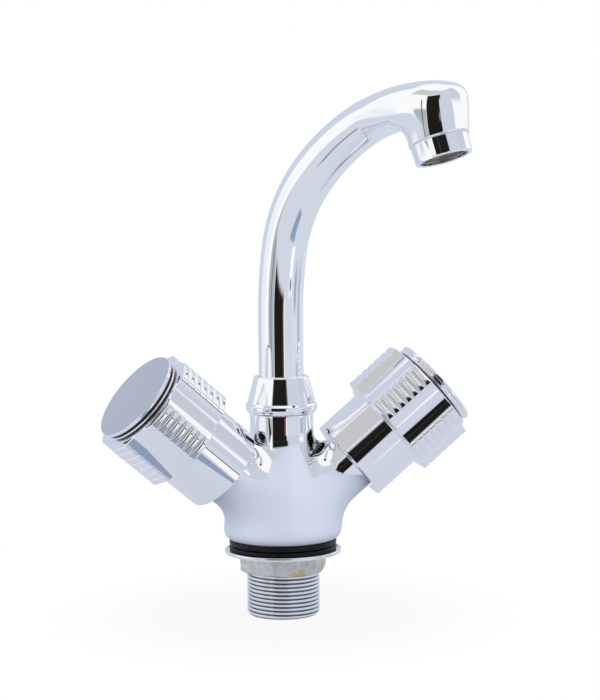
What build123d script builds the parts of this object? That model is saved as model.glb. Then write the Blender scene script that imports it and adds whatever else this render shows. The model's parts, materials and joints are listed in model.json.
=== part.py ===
from build123d import *
import math
import os

# Twin-knob deck-mounted basin mixer with a swivel swan-neck spout.
# Millimetres. The origin is the centre of the deck's top face under the body, +Z is up,
# the user stands at -Y, and the hot knob is at -X.

# Small clearances
RUN_GAP = 0.05
FIT_GAP = 0.1
SEAT_GAP = 0.2
PART_GAP = 0.3

# Threaded shank, which passes through the deck
SHANK_R = 16.5
SHANK_WALL = 3.5
SHANK_LENGTH = 32.1
SHANK_CHAMFER = 0.9
SHANK_SOCKET_R = 15.0
SHANK_SOCKET_DEPTH = 8.0

# Gaskets, washer and nut that clamp the deck
GASKET_R = 24.4
GASKET_T = 2.8
GASKET_ROUND = 1.1
GASKET_BORE_CLEARANCE = 0.5
WASHER_T = 1.2
WASHER_LIP_GAP = 1.15
WASHER_LIP_T = 0.9
WASHER_LIP_H = 1.0
WASHER_R = GASKET_R + WASHER_LIP_GAP + WASHER_LIP_T
NUT_FLATS = 36.0
NUT_HEIGHT = 8.0
NUT_TOP_FACE_R = 19.6
NUT_BOTTOM_FACE_R = 18.2
NUT_TOP_CHAMFER_H = 1.3
NUT_BOTTOM_CHAMFER_H = 2.1

# Body: a bell-shaped base, an upright turret and two raised arms, heights from the foot
BASE_R = 26.75
BASE_BEAD_H = 4.6
BASE_BEAD_BULGE = 0.65
WAIST_R = 25.9
WAIST_H = 11.2
SHOULDER_R = 23.6
SHOULDER_H = 25.2
NECK_FOOT_R = 16.3
NECK_FOOT_H = 40.7
TURRET_R = 14.35
TURRET_FOOT_H = 49.2
TURRET_H = 57.4
TURRET_THREAD_R = 13.6
TURRET_THREAD_H = 6.8
ARM_R = 14.0
ARM_START = 13.0
ARM_END = 43.5
ARM_RISE_DEG = 40.3
ARM_SWEEP_DEG = 7.5
ARM_MEET_Y = -2.0
ARM_MEET_H = 8.3
ARM_BLEND_R = 5.0

# Waterways inside the body
INLET_X = 7.6
INLET_R = 4.5
INLET_DEPTH = 7.5
RISER_R = 3.6
RISER_H = 16.2
SEAT_BORE_R = 5.5
SEAT_BORE_LENGTH = 12.0
SEAT_RIM_T = 1.3
SEAT_RIM_H = 0.8
VALVE_CHAMBER_R = 9.8
VALVE_CHAMBER_DEPTH = 17.5
BONNET_THREAD_R = 10.45
BONNET_THREAD_DEPTH = 9.0
OUTLET_R = 3.5
OUTLET_AHEAD_OF_SEAT = 5.5
OUTLET_OFFSET = 6.0
MIXING_R = 8.0
MIXING_H = 9.0
SPIGOT_R = 9.9
SPIGOT_WALL = 2.1
SPIGOT_SOCKET_DEPTH = 23.0

# Collar nut that holds the spout down, heights from its foot
COLLAR_H = 16.6
COLLAR_TOP_R = 12.25
COLLAR_RIM_R = 16.2
COLLAR_FOOT_R = 15.5
COLLAR_FOOT_SLOPE_H = 1.6
COLLAR_RIM_H = 3.4
COLLAR_SHOULDER_H = 4.4
COLLAR_SHOULDER_STEP = 0.5
COLLAR_TOP_ROUND = 0.5
COLLAR_FOOT_ROUND = 0.8

# Spout tube, which bends in three stretches and flattens on the way
TUBE_R = 10.15
TUBE_WALL = 2.35
TUBE_STRAIGHT_H = 25.0
TUBE_STRAIGHT_SHOWN = 12.0
SPOUT_SWING_DEG = 34.0
BEND_LOW_R = 200.0
BEND_LOW_END_DEG = 9.0
BEND_MID_R = 66.0
BEND_MID_END_DEG = 42.0
BEND_HIGH_R = 100.0
BEND_HIGH_END_DEG = 67.0
BEND_LAST_R = 100.0
BEND_LAST_END_DEG = 84.0
NECK_LOW_THICK = 10.25
NECK_MID_THICK = 10.3
NECK_HIGH_THICK = 9.3
NECK_LAST_THICK = 6.9
NECK_LOW_WIDE = 10.25
NECK_MID_WIDE = 10.7
NECK_HIGH_WIDE = 11.4
NECK_LAST_WIDE = 12.0
BEND_STEPS = 2
RETAINER_GROOVE_R = 8.9
RETAINER_R = 11.9
RETAINER_T = 2.2
RETAINER_SPLIT = 2.0
SPOUT_RING_WIRE_R = 0.85
SPOUT_RING_CENTRE_R = 9.08
SPOUT_RING_GROOVE_W = 2.1
SPOUT_RING_HEIGHTS = (5.0, 11.0)

# Outlet nose, placed from the end of the tube's centre line
NOSE_TILT_DEG = 18.1
NOSE_RIM_OUT = 2.9
NOSE_RIM_DROP = 18.3
NOSE_RIM_R = 13.3
NOSE_TOP_BACK = 2.1
NOSE_TOP_RISE = 6.6
NOSE_TOP_LONG_R = 15.2
NOSE_TOP_WIDE_R = 12.6
NOSE_TOP_ROUND = 6.0
OUTLET_WELL_R = 8.4
OUTLET_WELL_DEPTH = 15.0

# Aerator that screws into the nose, drawn from the nose's rim
AERATOR_THREAD_R = 11.5
AERATOR_TOP_R = 12.6
AERATOR_BOTTOM_R = 12.3
AERATOR_H = 8.3
AERATOR_ROUND = 0.7
AERATOR_BORE_R = 10.4
AERATOR_SPIGOT_H = 5.2
AERATOR_LIP_T = 1.2
AERATOR_LIP_W = 1.6
AERATOR_FLAT_W = 5.0
AERATOR_FLAT_H = 2.6
AERATOR_FLAT_DEPTH = 0.8
AERATOR_FLAT_TURN_DEG = 176.0
AERATOR_SEAL_T = 2.0
AERATOR_SEAL_W = 2.4
INSERT_RECESS = 1.6
INSERT_WALL = 0.7
INSERT_RIB_DEPTH = 2.4
INSERT_FACE_T = 1.0
INSERT_SPOKES = 6
INSERT_SPOKE_T = 0.6
INSERT_RIB_STEP = 2.2
INSERT_RIBS = 4
INSERT_HOLE_R = 0.4
SCREEN_T = 0.5

# Valve headwork, measured along each arm from the point where the arms meet
VALVE_LIFT = 4.0
LIFT_SPARE = 0.5
BONNET_SEAL_T = 1.0
BONNET_FLANGE_R = 12.6
BONNET_FLANGE_T = 1.6
BONNET_HEX_FLATS = 19.0
BONNET_HEX_H = 6.0
BONNET_NECK_R = 8.0
BONNET_NECK_H = 9.9
SPINDLE_R = 5.5
SPINDLE_SHOULDER_R = 4.9
SPINDLE_SHOULDER_H = 2.0
SPINDLE_FOOT_GAP = 1.0
SPINDLE_NUT_SPARE = 1.5
SPLINE_R = 3.9
SPLINE_DEPTH = 0.35
SPLINE_SLOT_W = 0.5
SPLINE_COUNT = 20
SPLINE_H = 16.0
STEM_FLATS = 10.0
STEM_HEX_H = 10.0
STEM_THREAD_R = 3.5
STEM_THREAD_H = 11.5
PLUNGER_R = 7.4
PLUNGER_T = 3.0
VALVE_WASHER_R = 7.6
VALVE_WASHER_T = 2.5
WASHER_SCREW_HEAD_R = 2.6
WASHER_SCREW_HEAD_T = 0.8
WASHER_SCREW_SLOT_W = 0.6
WASHER_SCREW_SLOT_DEPTH = 0.4
WASHER_SCREW_R = 1.4
WASHER_SCREW_GRIP = 4.5
SPINDLE_RING_WIRE_R = 0.62
SPINDLE_RING_CENTRE_R = 4.95
SPINDLE_RING_HEIGHTS = (2.5, 7.0)
SPINDLE_RING_GROOVE_W = 1.6
CIRCLIP_T = 0.8
CIRCLIP_R = 6.7
CIRCLIP_GROOVE_R = 4.5
CIRCLIP_GAP_W = 4.0

# Knobs, measured along the same line
SKIRT_OVERLAP = 3.7
SKIRT_H = 22.6
SKIRT_R = 20.1
SKIRT_WALL = 1.2
SKIRT_EDGE_ROUND = 0.4
GRIP_H = 27.3
GRIP_R = 21.2
GRIP_WALL = 3.2
GRIP_EDGE_ROUND = 0.5
LOBE_COUNT = 6
LOBE_FOOT_INSET = 0.8
LOBE_TOP_INSET = 0.2
LOBE_R = 26.0
LOBE_ROOT_R = 19.5
LOBE_ROOT_HALF_W = 6.3
LOBE_CREST_HALF_W = 5.9
RIB_COUNT = 7
RIB_H = 0.95
RIB_TRIM = 0.15
HOT_LOBE_TURN_DEG = -8.5
COLD_LOBE_TURN_DEG = 30.5
HUB_R = 7.0
WEB_T = 3.0
TRIM_GAP = 1.0
TRIM_T = 0.8
TRIM_R = 21.3
CAP_GAP = 1.3
CAP_R = 21.4
CAP_RIM_T = 1.5
CAP_DISC_T = 2.7
CAP_EDGE_ROUND = 0.5
CAP_NECK_R = 20.1
CAP_PLUG_R = 17.6
CAP_PLUG_DEPTH = 4.0
CAP_PLUG_WALL = 1.4
KNOB_SCREW_R = 1.85
KNOB_SCREW_LENGTH = 9.0
KNOB_SCREW_HEAD_R = 5.0
KNOB_SCREW_HEAD_T = 2.6
KNOB_SCREW_SOCKET_FLATS = 3.0
KNOB_SCREW_SOCKET_DEPTH = 1.5
KNOB_SCREW_HOLE_SPARE = 2.0

# Heights that follow from the sizes above
FOOT_Z = GASKET_T
SOCKET_TOP_Z = FOOT_Z + SHANK_SOCKET_DEPTH
TURRET_TOP_Z = FOOT_Z + TURRET_H
THREAD_TOP_Z = TURRET_TOP_Z + TURRET_THREAD_H
SPIGOT_FLOOR_Z = THREAD_TOP_Z - SPIGOT_SOCKET_DEPTH
MIXING_FLOOR_Z = SPIGOT_FLOOR_Z - MIXING_H
RETAINER_Z = THREAD_TOP_Z + PART_GAP
TUBE_FOOT_Z = RETAINER_Z + RETAINER_T
COLLAR_TOP_Z = TURRET_TOP_Z + COLLAR_H
TUBE_STRAIGHT_Z = COLLAR_TOP_Z + TUBE_STRAIGHT_H
WASHER_TOP_Z = -SEAT_GAP - GASKET_T
NUT_TOP_Z = WASHER_TOP_Z - WASHER_T - RUN_GAP

# Places along the arm that follow from the sizes above
VALVE_SEAT = ARM_END - VALVE_CHAMBER_DEPTH
PLUNGER_START = VALVE_SEAT + SEAT_RIM_H + SEAT_GAP + VALVE_WASHER_T
PLUNGER_END = PLUNGER_START + PLUNGER_T
BONNET_START = PLUNGER_END + VALVE_LIFT + LIFT_SPARE
BONNET_FLANGE_AT = ARM_END + BONNET_SEAL_T
BONNET_HEX_AT = BONNET_FLANGE_AT + BONNET_FLANGE_T
BONNET_END = BONNET_HEX_AT + BONNET_HEX_H + BONNET_NECK_H
STEM_HEX_END = PLUNGER_END + STEM_HEX_H
STEM_END = STEM_HEX_END + STEM_THREAD_H
SPINDLE_START = STEM_HEX_END + VALVE_LIFT + SPINDLE_FOOT_GAP
SPINDLE_NUT_END = STEM_END + VALVE_LIFT + SPINDLE_NUT_SPARE
CIRCLIP_AT = BONNET_END + RUN_GAP
HUB_START = BONNET_END + SPINDLE_SHOULDER_H
SPLINE_END = HUB_START + SPLINE_H
SKIRT_START = ARM_END - SKIRT_OVERLAP
GRIP_START = SKIRT_START + SKIRT_H
GRIP_END = GRIP_START + GRIP_H
LOBE_START = GRIP_START + LOBE_FOOT_INSET
LOBE_END = GRIP_END - LOBE_TOP_INSET
TRIM_AT = GRIP_END + TRIM_GAP
CAP_NECK_AT = TRIM_AT + TRIM_T
CAP_RIM_AT = CAP_NECK_AT + CAP_GAP
CAP_END = CAP_RIM_AT + CAP_RIM_T

# Places along the aerator's axis that follow from the sizes above
INSERT_R = AERATOR_BORE_R - RUN_GAP
INSERT_START = INSERT_RECESS - AERATOR_H
INSERT_END = AERATOR_SPIGOT_H - AERATOR_LIP_T - RUN_GAP
AERATOR_SPIGOT_R = AERATOR_THREAD_R - FIT_GAP
AERATOR_SOCKET_DEPTH = AERATOR_SPIGOT_H + AERATOR_SEAL_T + FIT_GAP

OVERRUN = 1.0
UPRIGHT = (Align.CENTER, Align.CENTER, Align.MIN)


def turned(points):
    """A solid turned about the vertical axis from an outline of (radius, height) points."""
    outline = Polyline(*[(0, r, z) for r, z in points], close=True)
    return revolve(make_face(outline), Axis.Z)


def ring(r_in, r_out, z0, z1):
    """A plain ring from its two radii and its two heights."""
    return turned([(r_in, z0), (r_out, z0), (r_out, z1), (r_in, z1)])


def rod(r, z0, z1):
    """A plain cylinder between two heights."""
    return Pos(0, 0, z0) * Cylinder(r, z1 - z0, align=UPRIGHT)


def hexagon(flats, z0, z1):
    """A hexagonal prism from its width across flats."""
    outline = RegularPolygon(flats / 2, 6, major_radius=False)
    return Pos(0, 0, z0) * extrude(outline, z1 - z0)


def o_rings(centre_r, wire_r, heights):
    """A set of equal O-rings on the vertical axis."""
    return Compound([Pos(0, 0, z) * Torus(centre_r, wire_r) for z in heights])


def cut_ring_grooves(solid, centre_r, wire_r, width, heights):
    """Cut a groove for each O-ring of a set."""
    for z in heights:
        solid = solid - ring(centre_r - wire_r, centre_r + width, z - width / 2, z + width / 2)
    return solid


def edges_at(solid, r, z):
    """The circular edges of a turned solid that have the given radius and height."""
    found = []
    for edge in solid.edges().filter_by(GeomType.CIRCLE):
        if abs(edge.radius - r) < 1e-3 and abs(edge.arc_center.Z - z) < 1e-3:
            found.append(edge)
    return ShapeList(found)


def arm_plane(side):
    """The plane at the meeting point of the arms whose normal runs out along one arm."""
    rise = math.radians(ARM_RISE_DEG)
    sweep = math.radians(ARM_SWEEP_DEG)
    along = (side * math.cos(rise) * math.cos(sweep), -math.cos(rise) * math.sin(sweep), math.sin(rise))
    across = (side * math.sin(sweep), math.cos(sweep), 0)
    return Plane(origin=(0, ARM_MEET_Y, FOOT_Z + ARM_MEET_H), x_dir=across, z_dir=along)


def on_arm(side, solid):
    return arm_plane(side).location * solid


def spout_point(u, z):
    """A point in the spout's plane, u out from the column and z up."""
    swing = math.radians(SPOUT_SWING_DEG)
    return Vector(u * math.sin(swing), -u * math.cos(swing), z)


def spout_plane(u, z, lean_deg):
    """A plane square to the spout where it leans so many degrees out from upright."""
    swing = math.radians(SPOUT_SWING_DEG)
    lean = math.radians(lean_deg)
    across = Vector(math.cos(swing), math.sin(swing), 0)
    along = spout_point(math.sin(lean), math.cos(lean))
    return Plane(origin=spout_point(u, z), x_dir=across, z_dir=along)


def bell_outline():
    """Half outline of the base, the waist and the turret."""
    bead_top = FOOT_Z + BASE_BEAD_H
    bead = ThreePointArc(
        (0, GASKET_R, FOOT_Z),
        (0, (GASKET_R + BASE_R) / 2 + BASE_BEAD_BULGE, FOOT_Z + BASE_BEAD_H / 2 - BASE_BEAD_BULGE),
        (0, BASE_R, bead_top),
    )
    flank = Spline(
        (0, BASE_R, bead_top),
        (0, WAIST_R, FOOT_Z + WAIST_H),
        (0, SHOULDER_R, FOOT_Z + SHOULDER_H),
        (0, NECK_FOOT_R, FOOT_Z + NECK_FOOT_H),
        (0, TURRET_R, FOOT_Z + TURRET_FOOT_H),
        tangents=[(0, 0, 1), (0, 0, 1)],
    )
    rest = Polyline(
        (0, TURRET_R, FOOT_Z + TURRET_FOOT_H),
        (0, TURRET_R, TURRET_TOP_Z),
        (0, 0, TURRET_TOP_Z),
        (0, 0, FOOT_Z),
        (0, GASKET_R, FOOT_Z),
    )
    return make_face(bead + flank + rest)


def arm_seams(body):
    """The closed curves where the arms meet the bell."""
    return ShapeList([e for e in body.edges() if e.geom_type == GeomType.BSPLINE and e.length > 2.5 * ARM_R])


def mixer_body():
    """The casting: bell, turret and arms, with its waterways and sockets cut out."""
    body = revolve(bell_outline(), Axis.Z)
    for side in (-1, 1):
        body = body + on_arm(side, rod(ARM_R, ARM_START, ARM_END))
    body = fillet(arm_seams(body), ARM_BLEND_R)
    body = body + rod(TURRET_THREAD_R, TURRET_TOP_Z - OVERRUN, THREAD_TOP_Z)
    body = body - rod(SHANK_SOCKET_R, FOOT_Z, SOCKET_TOP_Z)
    body = body - rod(SPIGOT_R + FIT_GAP, SPIGOT_FLOOR_Z, THREAD_TOP_Z)
    body = body - rod(MIXING_R, MIXING_FLOOR_Z, SPIGOT_FLOOR_Z)
    for side in (-1, 1):
        body = body - waterway(side)
    return body


def waterway(side):
    """Everything cut away for one supply: inlet, riser, seat bore, valve chamber and outlet."""
    inlet = rod(INLET_R, SOCKET_TOP_Z, SOCKET_TOP_Z + INLET_DEPTH)
    riser = rod(RISER_R, SOCKET_TOP_Z, SOCKET_TOP_Z + RISER_H)
    supply = Pos(side * INLET_X, ARM_MEET_Y, 0) * (inlet + riser)
    seat_bore = rod(SEAT_BORE_R, VALVE_SEAT - SEAT_BORE_LENGTH, VALVE_SEAT + SEAT_RIM_H)
    chamber = rod(VALVE_CHAMBER_R, VALVE_SEAT, ARM_END)
    chamber = chamber - ring(SEAT_BORE_R, SEAT_BORE_R + SEAT_RIM_T, VALVE_SEAT, VALVE_SEAT + SEAT_RIM_H)
    thread = rod(BONNET_THREAD_R, ARM_END - BONNET_THREAD_DEPTH, ARM_END)
    outlet_at = Pos(0, side * OUTLET_OFFSET, VALVE_SEAT + OUTLET_AHEAD_OF_SEAT)
    start = (arm_plane(side).location * outlet_at).position
    run = Vector(0, 0, (MIXING_FLOOR_Z + SPIGOT_FLOOR_Z) / 2) - start
    outlet = Plane(origin=start, z_dir=run).location * rod(OUTLET_R, 0, run.length)
    return supply + on_arm(side, seat_bore + chamber + thread) + outlet


def threaded_sleeve():
    """The shank: a tube with an outside thread whose plain end is held in the body."""
    sleeve = rod(SHANK_R, -SHANK_LENGTH, FOOT_Z)
    sleeve = chamfer(edges_at(sleeve, SHANK_R, -SHANK_LENGTH), SHANK_CHAMFER)
    sleeve = sleeve + rod(SHANK_SOCKET_R - RUN_GAP, FOOT_Z, SOCKET_TOP_Z)
    return sleeve - rod(SHANK_R - SHANK_WALL, -SHANK_LENGTH, SOCKET_TOP_Z)


def gasket(z0):
    """A flat rubber washer with rounded edges."""
    z1 = z0 + GASKET_T
    disc = ring(SHANK_R + GASKET_BORE_CLEARANCE, GASKET_R, z0, z1)
    return fillet(edges_at(disc, GASKET_R, z0) + edges_at(disc, GASKET_R, z1), GASKET_ROUND)


def clamp_washer():
    """The pressed steel washer with its edge turned up round the lower gasket."""
    z0 = WASHER_TOP_Z - WASHER_T
    lip_z = WASHER_TOP_Z + WASHER_LIP_H
    lip_r = WASHER_R - WASHER_LIP_T
    bore_r = SHANK_R + PART_GAP
    dish = turned([
        (bore_r, z0),
        (WASHER_R, z0),
        (WASHER_R, lip_z),
        (lip_r, lip_z),
        (lip_r, WASHER_TOP_Z),
        (bore_r, WASHER_TOP_Z),
    ])
    dish = fillet(edges_at(dish, WASHER_R, z0), WASHER_T / 2)
    return fillet(edges_at(dish, WASHER_R, lip_z), 0.4 * WASHER_LIP_T)


def clamp_nut():
    """The hexagonal backnut, chamfered above and below."""
    bottom = NUT_TOP_Z - NUT_HEIGHT
    corner_r = NUT_FLATS / math.sqrt(3) + OVERRUN
    blank = turned([
        (0, bottom),
        (NUT_BOTTOM_FACE_R, bottom),
        (corner_r, bottom + NUT_BOTTOM_CHAMFER_H),
        (corner_r, NUT_TOP_Z - NUT_TOP_CHAMFER_H),
        (NUT_TOP_FACE_R, NUT_TOP_Z),
        (0, NUT_TOP_Z),
    ])
    return (hexagon(NUT_FLATS, bottom, NUT_TOP_Z) & blank) - rod(SHANK_R + RUN_GAP, bottom, NUT_TOP_Z)


def spout_collar():
    """The tapered nut that screws onto the turret and traps the spout's ring."""
    foot = TURRET_TOP_Z
    neck_r = TUBE_R + PART_GAP
    room_r = RETAINER_R + PART_GAP
    thread_r = TURRET_THREAD_R + RUN_GAP
    room_z = THREAD_TOP_Z + PART_GAP
    shell = turned([
        (thread_r, foot),
        (COLLAR_FOOT_R, foot),
        (COLLAR_RIM_R, foot + COLLAR_FOOT_SLOPE_H),
        (COLLAR_RIM_R, foot + COLLAR_RIM_H),
        (COLLAR_RIM_R - COLLAR_SHOULDER_STEP, foot + COLLAR_SHOULDER_H),
        (COLLAR_TOP_R, COLLAR_TOP_Z),
        (neck_r, COLLAR_TOP_Z),
        (neck_r, TUBE_FOOT_Z + PART_GAP),
        (room_r, TUBE_FOOT_Z + PART_GAP),
        (room_r, room_z),
        (thread_r, room_z),
    ])
    shell = fillet(edges_at(shell, COLLAR_TOP_R, COLLAR_TOP_Z), COLLAR_TOP_ROUND)
    rim = edges_at(shell, COLLAR_RIM_R, foot + COLLAR_FOOT_SLOPE_H) + edges_at(
        shell, COLLAR_RIM_R, foot + COLLAR_RIM_H)
    return fillet(rim + edges_at(shell, COLLAR_FOOT_R, foot), COLLAR_FOOT_ROUND)


def tube_sections():
    """Sections along the bent tube: u, z, lean, half thickness and half width."""
    sections = [
        (0.0, TUBE_STRAIGHT_Z - TUBE_STRAIGHT_SHOWN, 0.0, TUBE_R, TUBE_R),
        (0.0, TUBE_STRAIGHT_Z, 0.0, TUBE_R, TUBE_R),
    ]
    bends = (
        (BEND_LOW_R, BEND_LOW_END_DEG, NECK_LOW_THICK, NECK_LOW_WIDE),
        (BEND_MID_R, BEND_MID_END_DEG, NECK_MID_THICK, NECK_MID_WIDE),
        (BEND_HIGH_R, BEND_HIGH_END_DEG, NECK_HIGH_THICK, NECK_HIGH_WIDE),
        (BEND_LAST_R, BEND_LAST_END_DEG, NECK_LAST_THICK, NECK_LAST_WIDE),
    )
    for radius, end_deg, end_thick, end_wide in bends:
        u, z, lean, thick, wide = sections[-1]
        for step in range(1, BEND_STEPS + 1):
            share = step / BEND_STEPS
            at = lean + share * (end_deg - lean)
            du = radius * (math.cos(math.radians(lean)) - math.cos(math.radians(at)))
            dz = radius * (math.sin(math.radians(at)) - math.sin(math.radians(lean)))
            half_thick = thick + share * (end_thick - thick)
            half_wide = wide + share * (end_wide - wide)
            sections.append((u + du, z + dz, at, half_thick, half_wide))
    return sections


def nose_plane():
    """The plane of the nose's rim, with its normal pointing back up into the nose."""
    u, z = tube_sections()[-1][:2]
    return spout_plane(u + NOSE_RIM_OUT, z - NOSE_RIM_DROP, -NOSE_TILT_DEG)


def on_nose(solid):
    return nose_plane().location * solid


def outlet_nose():
    """The boss that the tube runs into, wider at its rounded top than at its rim."""
    u, z = tube_sections()[-1][:2]
    top_plane = spout_plane(u - NOSE_TOP_BACK, z + NOSE_TOP_RISE, 0)
    rim = nose_plane() * Circle(NOSE_RIM_R)
    top = top_plane * Ellipse(NOSE_TOP_WIDE_R, NOSE_TOP_LONG_R)
    nose = loft([rim, top])
    top_edge = nose.edges().sort_by(Axis.Z)[-1]
    return fillet(top_edge, NOSE_TOP_ROUND)


def swan_neck():
    """The hollow spout: spigot, bent tube and outlet nose in one casting."""
    skin = []
    core = []
    for u, z, lean, thick, wide in tube_sections():
        plane = spout_plane(u, z, lean)
        skin.append(plane * Ellipse(wide, thick))
        core.append(plane * Circle(thick - TUBE_WALL))
    loft_z = TUBE_STRAIGHT_Z - TUBE_STRAIGHT_SHOWN
    lower = rod(TUBE_R, TUBE_FOOT_Z, loft_z) + rod(SPIGOT_R, SPIGOT_FLOOR_Z + PART_GAP, TUBE_FOOT_Z)
    spout = loft(skin) + outlet_nose() + lower
    spout = spout - (loft(core) + rod(SPIGOT_R - SPIGOT_WALL, SPIGOT_FLOOR_Z, loft_z))
    spout = spout - on_nose(rod(AERATOR_THREAD_R, -RUN_GAP, AERATOR_SOCKET_DEPTH))
    spout = spout - on_nose(rod(OUTLET_WELL_R, 0, OUTLET_WELL_DEPTH))
    spout = spout - ring(RETAINER_GROOVE_R, TUBE_R + OVERRUN, RETAINER_Z, TUBE_FOOT_Z)
    return cut_ring_grooves(
        spout, SPOUT_RING_CENTRE_R, SPOUT_RING_WIRE_R, SPOUT_RING_GROOVE_W, spout_ring_zs())


def spout_ring_zs():
    return [SPIGOT_FLOOR_Z + h for h in SPOUT_RING_HEIGHTS]


def spout_retaining_ring():
    """The split ring in the spout's groove, which the collar holds down."""
    whole = ring(RETAINER_GROOVE_R + RUN_GAP, RETAINER_R, RETAINER_Z, TUBE_FOOT_Z)
    split = Pos(0, RETAINER_R / 2 + OVERRUN, RETAINER_Z + RETAINER_T / 2) * Box(
        RETAINER_SPLIT, RETAINER_R + 2 * OVERRUN, RETAINER_T + OVERRUN)
    return whole - split


def aerator_housing():
    """The screw-in outlet sleeve, with its spigot up inside the nose."""
    lip_r = AERATOR_BORE_R - AERATOR_LIP_W
    lip_z = AERATOR_SPIGOT_H - AERATOR_LIP_T
    shell = turned([
        (AERATOR_BORE_R, -AERATOR_H),
        (AERATOR_BOTTOM_R, -AERATOR_H),
        (AERATOR_TOP_R, -RUN_GAP),
        (AERATOR_SPIGOT_R, -RUN_GAP),
        (AERATOR_SPIGOT_R, AERATOR_SPIGOT_H),
        (lip_r, AERATOR_SPIGOT_H),
        (lip_r, lip_z),
        (AERATOR_BORE_R, lip_z),
    ])
    shell = fillet(edges_at(shell, AERATOR_BOTTOM_R, -AERATOR_H), AERATOR_ROUND)
    flat = Box(AERATOR_FLAT_DEPTH * 2, AERATOR_FLAT_W, AERATOR_FLAT_H)
    for turn in (AERATOR_FLAT_TURN_DEG, AERATOR_FLAT_TURN_DEG + 180):
        shell = shell - Rot(0, 0, turn) * Pos(AERATOR_BOTTOM_R, 0, AERATOR_FLAT_H / 2 - AERATOR_H) * flat
    return on_nose(shell)


def aerator_seal():
    z0 = AERATOR_SPIGOT_H + RUN_GAP
    return on_nose(ring(AERATOR_SPIGOT_R - AERATOR_SEAL_W, AERATOR_SPIGOT_R, z0, z0 + AERATOR_SEAL_T))


def aerator_insert():
    """The moulded jet former: a drum with ribbed rings, spokes and jet holes."""
    face_z = INSERT_START + INSERT_RIB_DEPTH
    insert = ring(INSERT_R - INSERT_WALL, INSERT_R, INSERT_START, INSERT_END)
    insert = insert + rod(INSERT_R - INSERT_WALL / 2, face_z, face_z + INSERT_FACE_T)
    rib_z = INSERT_START + INSERT_WALL / 2
    for k in range(1, INSERT_RIBS + 1):
        r = INSERT_R - k * INSERT_RIB_STEP
        insert = insert + ring(r - INSERT_WALL, r, rib_z, face_z + INSERT_FACE_T / 2)
    spoke = Box(INSERT_R - INSERT_WALL, INSERT_SPOKE_T, INSERT_RIB_DEPTH)
    for k in range(INSERT_SPOKES):
        place = Rot(0, 0, 360 * k / INSERT_SPOKES) * Pos(INSERT_R / 2, 0, face_z - INSERT_WALL)
        insert = insert + place * spoke
    holes = []
    for k in range(1, INSERT_RIBS):
        r = INSERT_R - (k + 0.5) * INSERT_RIB_STEP - INSERT_WALL / 2
        count = INSERT_SPOKES * (INSERT_RIBS - k)
        for j in range(count):
            hole = rod(INSERT_HOLE_R, face_z - OVERRUN, face_z + INSERT_FACE_T + OVERRUN)
            holes.append(Rot(0, 0, 360 * (j + 0.5) / count) * Pos(r, 0, 0) * hole)
    return on_nose(insert - holes)


def aerator_screen():
    """The fine filter disc under the housing's lip."""
    return on_nose(rod(INSERT_R - INSERT_WALL - RUN_GAP, INSERT_END - SCREEN_T, INSERT_END))


def bonnet():
    """The valve's brass upper, screwed into the arm."""
    shape = rod(BONNET_THREAD_R - RUN_GAP, BONNET_START, BONNET_FLANGE_AT)
    shape = shape + rod(BONNET_FLANGE_R, BONNET_FLANGE_AT, BONNET_HEX_AT)
    shape = shape + hexagon(BONNET_HEX_FLATS, BONNET_HEX_AT, BONNET_HEX_AT + BONNET_HEX_H)
    shape = shape + rod(BONNET_NECK_R, BONNET_HEX_AT + BONNET_HEX_H, BONNET_END)
    shape = shape - rod(SPINDLE_R + FIT_GAP, SPINDLE_START - PART_GAP, BONNET_END)
    return shape - hexagon(STEM_FLATS + PART_GAP, BONNET_START, SPINDLE_START)


def bonnet_seal():
    return ring(BONNET_THREAD_R + PART_GAP, BONNET_FLANGE_R, ARM_END, BONNET_FLANGE_AT)


def spindle():
    """The part that the knob turns, with an internal screw that lifts the plunger."""
    shape = rod(SPINDLE_R, SPINDLE_START, BONNET_END)
    shape = shape + rod(SPINDLE_SHOULDER_R, BONNET_END, HUB_START)
    star = rod(SPLINE_R, HUB_START, SPLINE_END)
    slot = Pos(SPLINE_R, 0, (HUB_START + SPLINE_END) / 2) * Box(SPLINE_DEPTH * 2, SPLINE_SLOT_W, SPLINE_H)
    star = star - [Rot(0, 0, 360 * k / SPLINE_COUNT) * slot for k in range(SPLINE_COUNT)]
    shape = shape + star
    shape = shape - rod(STEM_THREAD_R + FIT_GAP, SPINDLE_START, SPINDLE_NUT_END)
    hole_depth = KNOB_SCREW_LENGTH + KNOB_SCREW_HOLE_SPARE
    shape = shape - rod(KNOB_SCREW_R + FIT_GAP, SPLINE_END - hole_depth, SPLINE_END)
    shape = shape - ring(CIRCLIP_GROOVE_R, SPINDLE_R + OVERRUN, CIRCLIP_AT, CIRCLIP_AT + CIRCLIP_T)
    return cut_ring_grooves(
        shape, SPINDLE_RING_CENTRE_R, SPINDLE_RING_WIRE_R, SPINDLE_RING_GROOVE_W, spindle_ring_places())


def spindle_ring_places():
    return [SPINDLE_START + h for h in SPINDLE_RING_HEIGHTS]


def circlip():
    """The open ring that keeps the spindle from sliding down into the bonnet."""
    whole = ring(CIRCLIP_GROOVE_R + RUN_GAP, CIRCLIP_R, CIRCLIP_AT, CIRCLIP_AT + CIRCLIP_T)
    mouth = Pos(CIRCLIP_R, 0, CIRCLIP_AT) * Box(2 * CIRCLIP_R, CIRCLIP_GAP_W, 4 * CIRCLIP_T)
    return whole - mouth


def plunger():
    """The non-turning jumper whose hexagonal stem slides in the bonnet."""
    shape = rod(PLUNGER_R, PLUNGER_START, PLUNGER_END)
    shape = shape + hexagon(STEM_FLATS, PLUNGER_END, STEM_HEX_END)
    shape = shape + rod(STEM_THREAD_R, STEM_HEX_END, STEM_END)
    hole_end = PLUNGER_START + WASHER_SCREW_GRIP + LIFT_SPARE
    return shape - rod(WASHER_SCREW_R + RUN_GAP, PLUNGER_START, hole_end)


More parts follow.
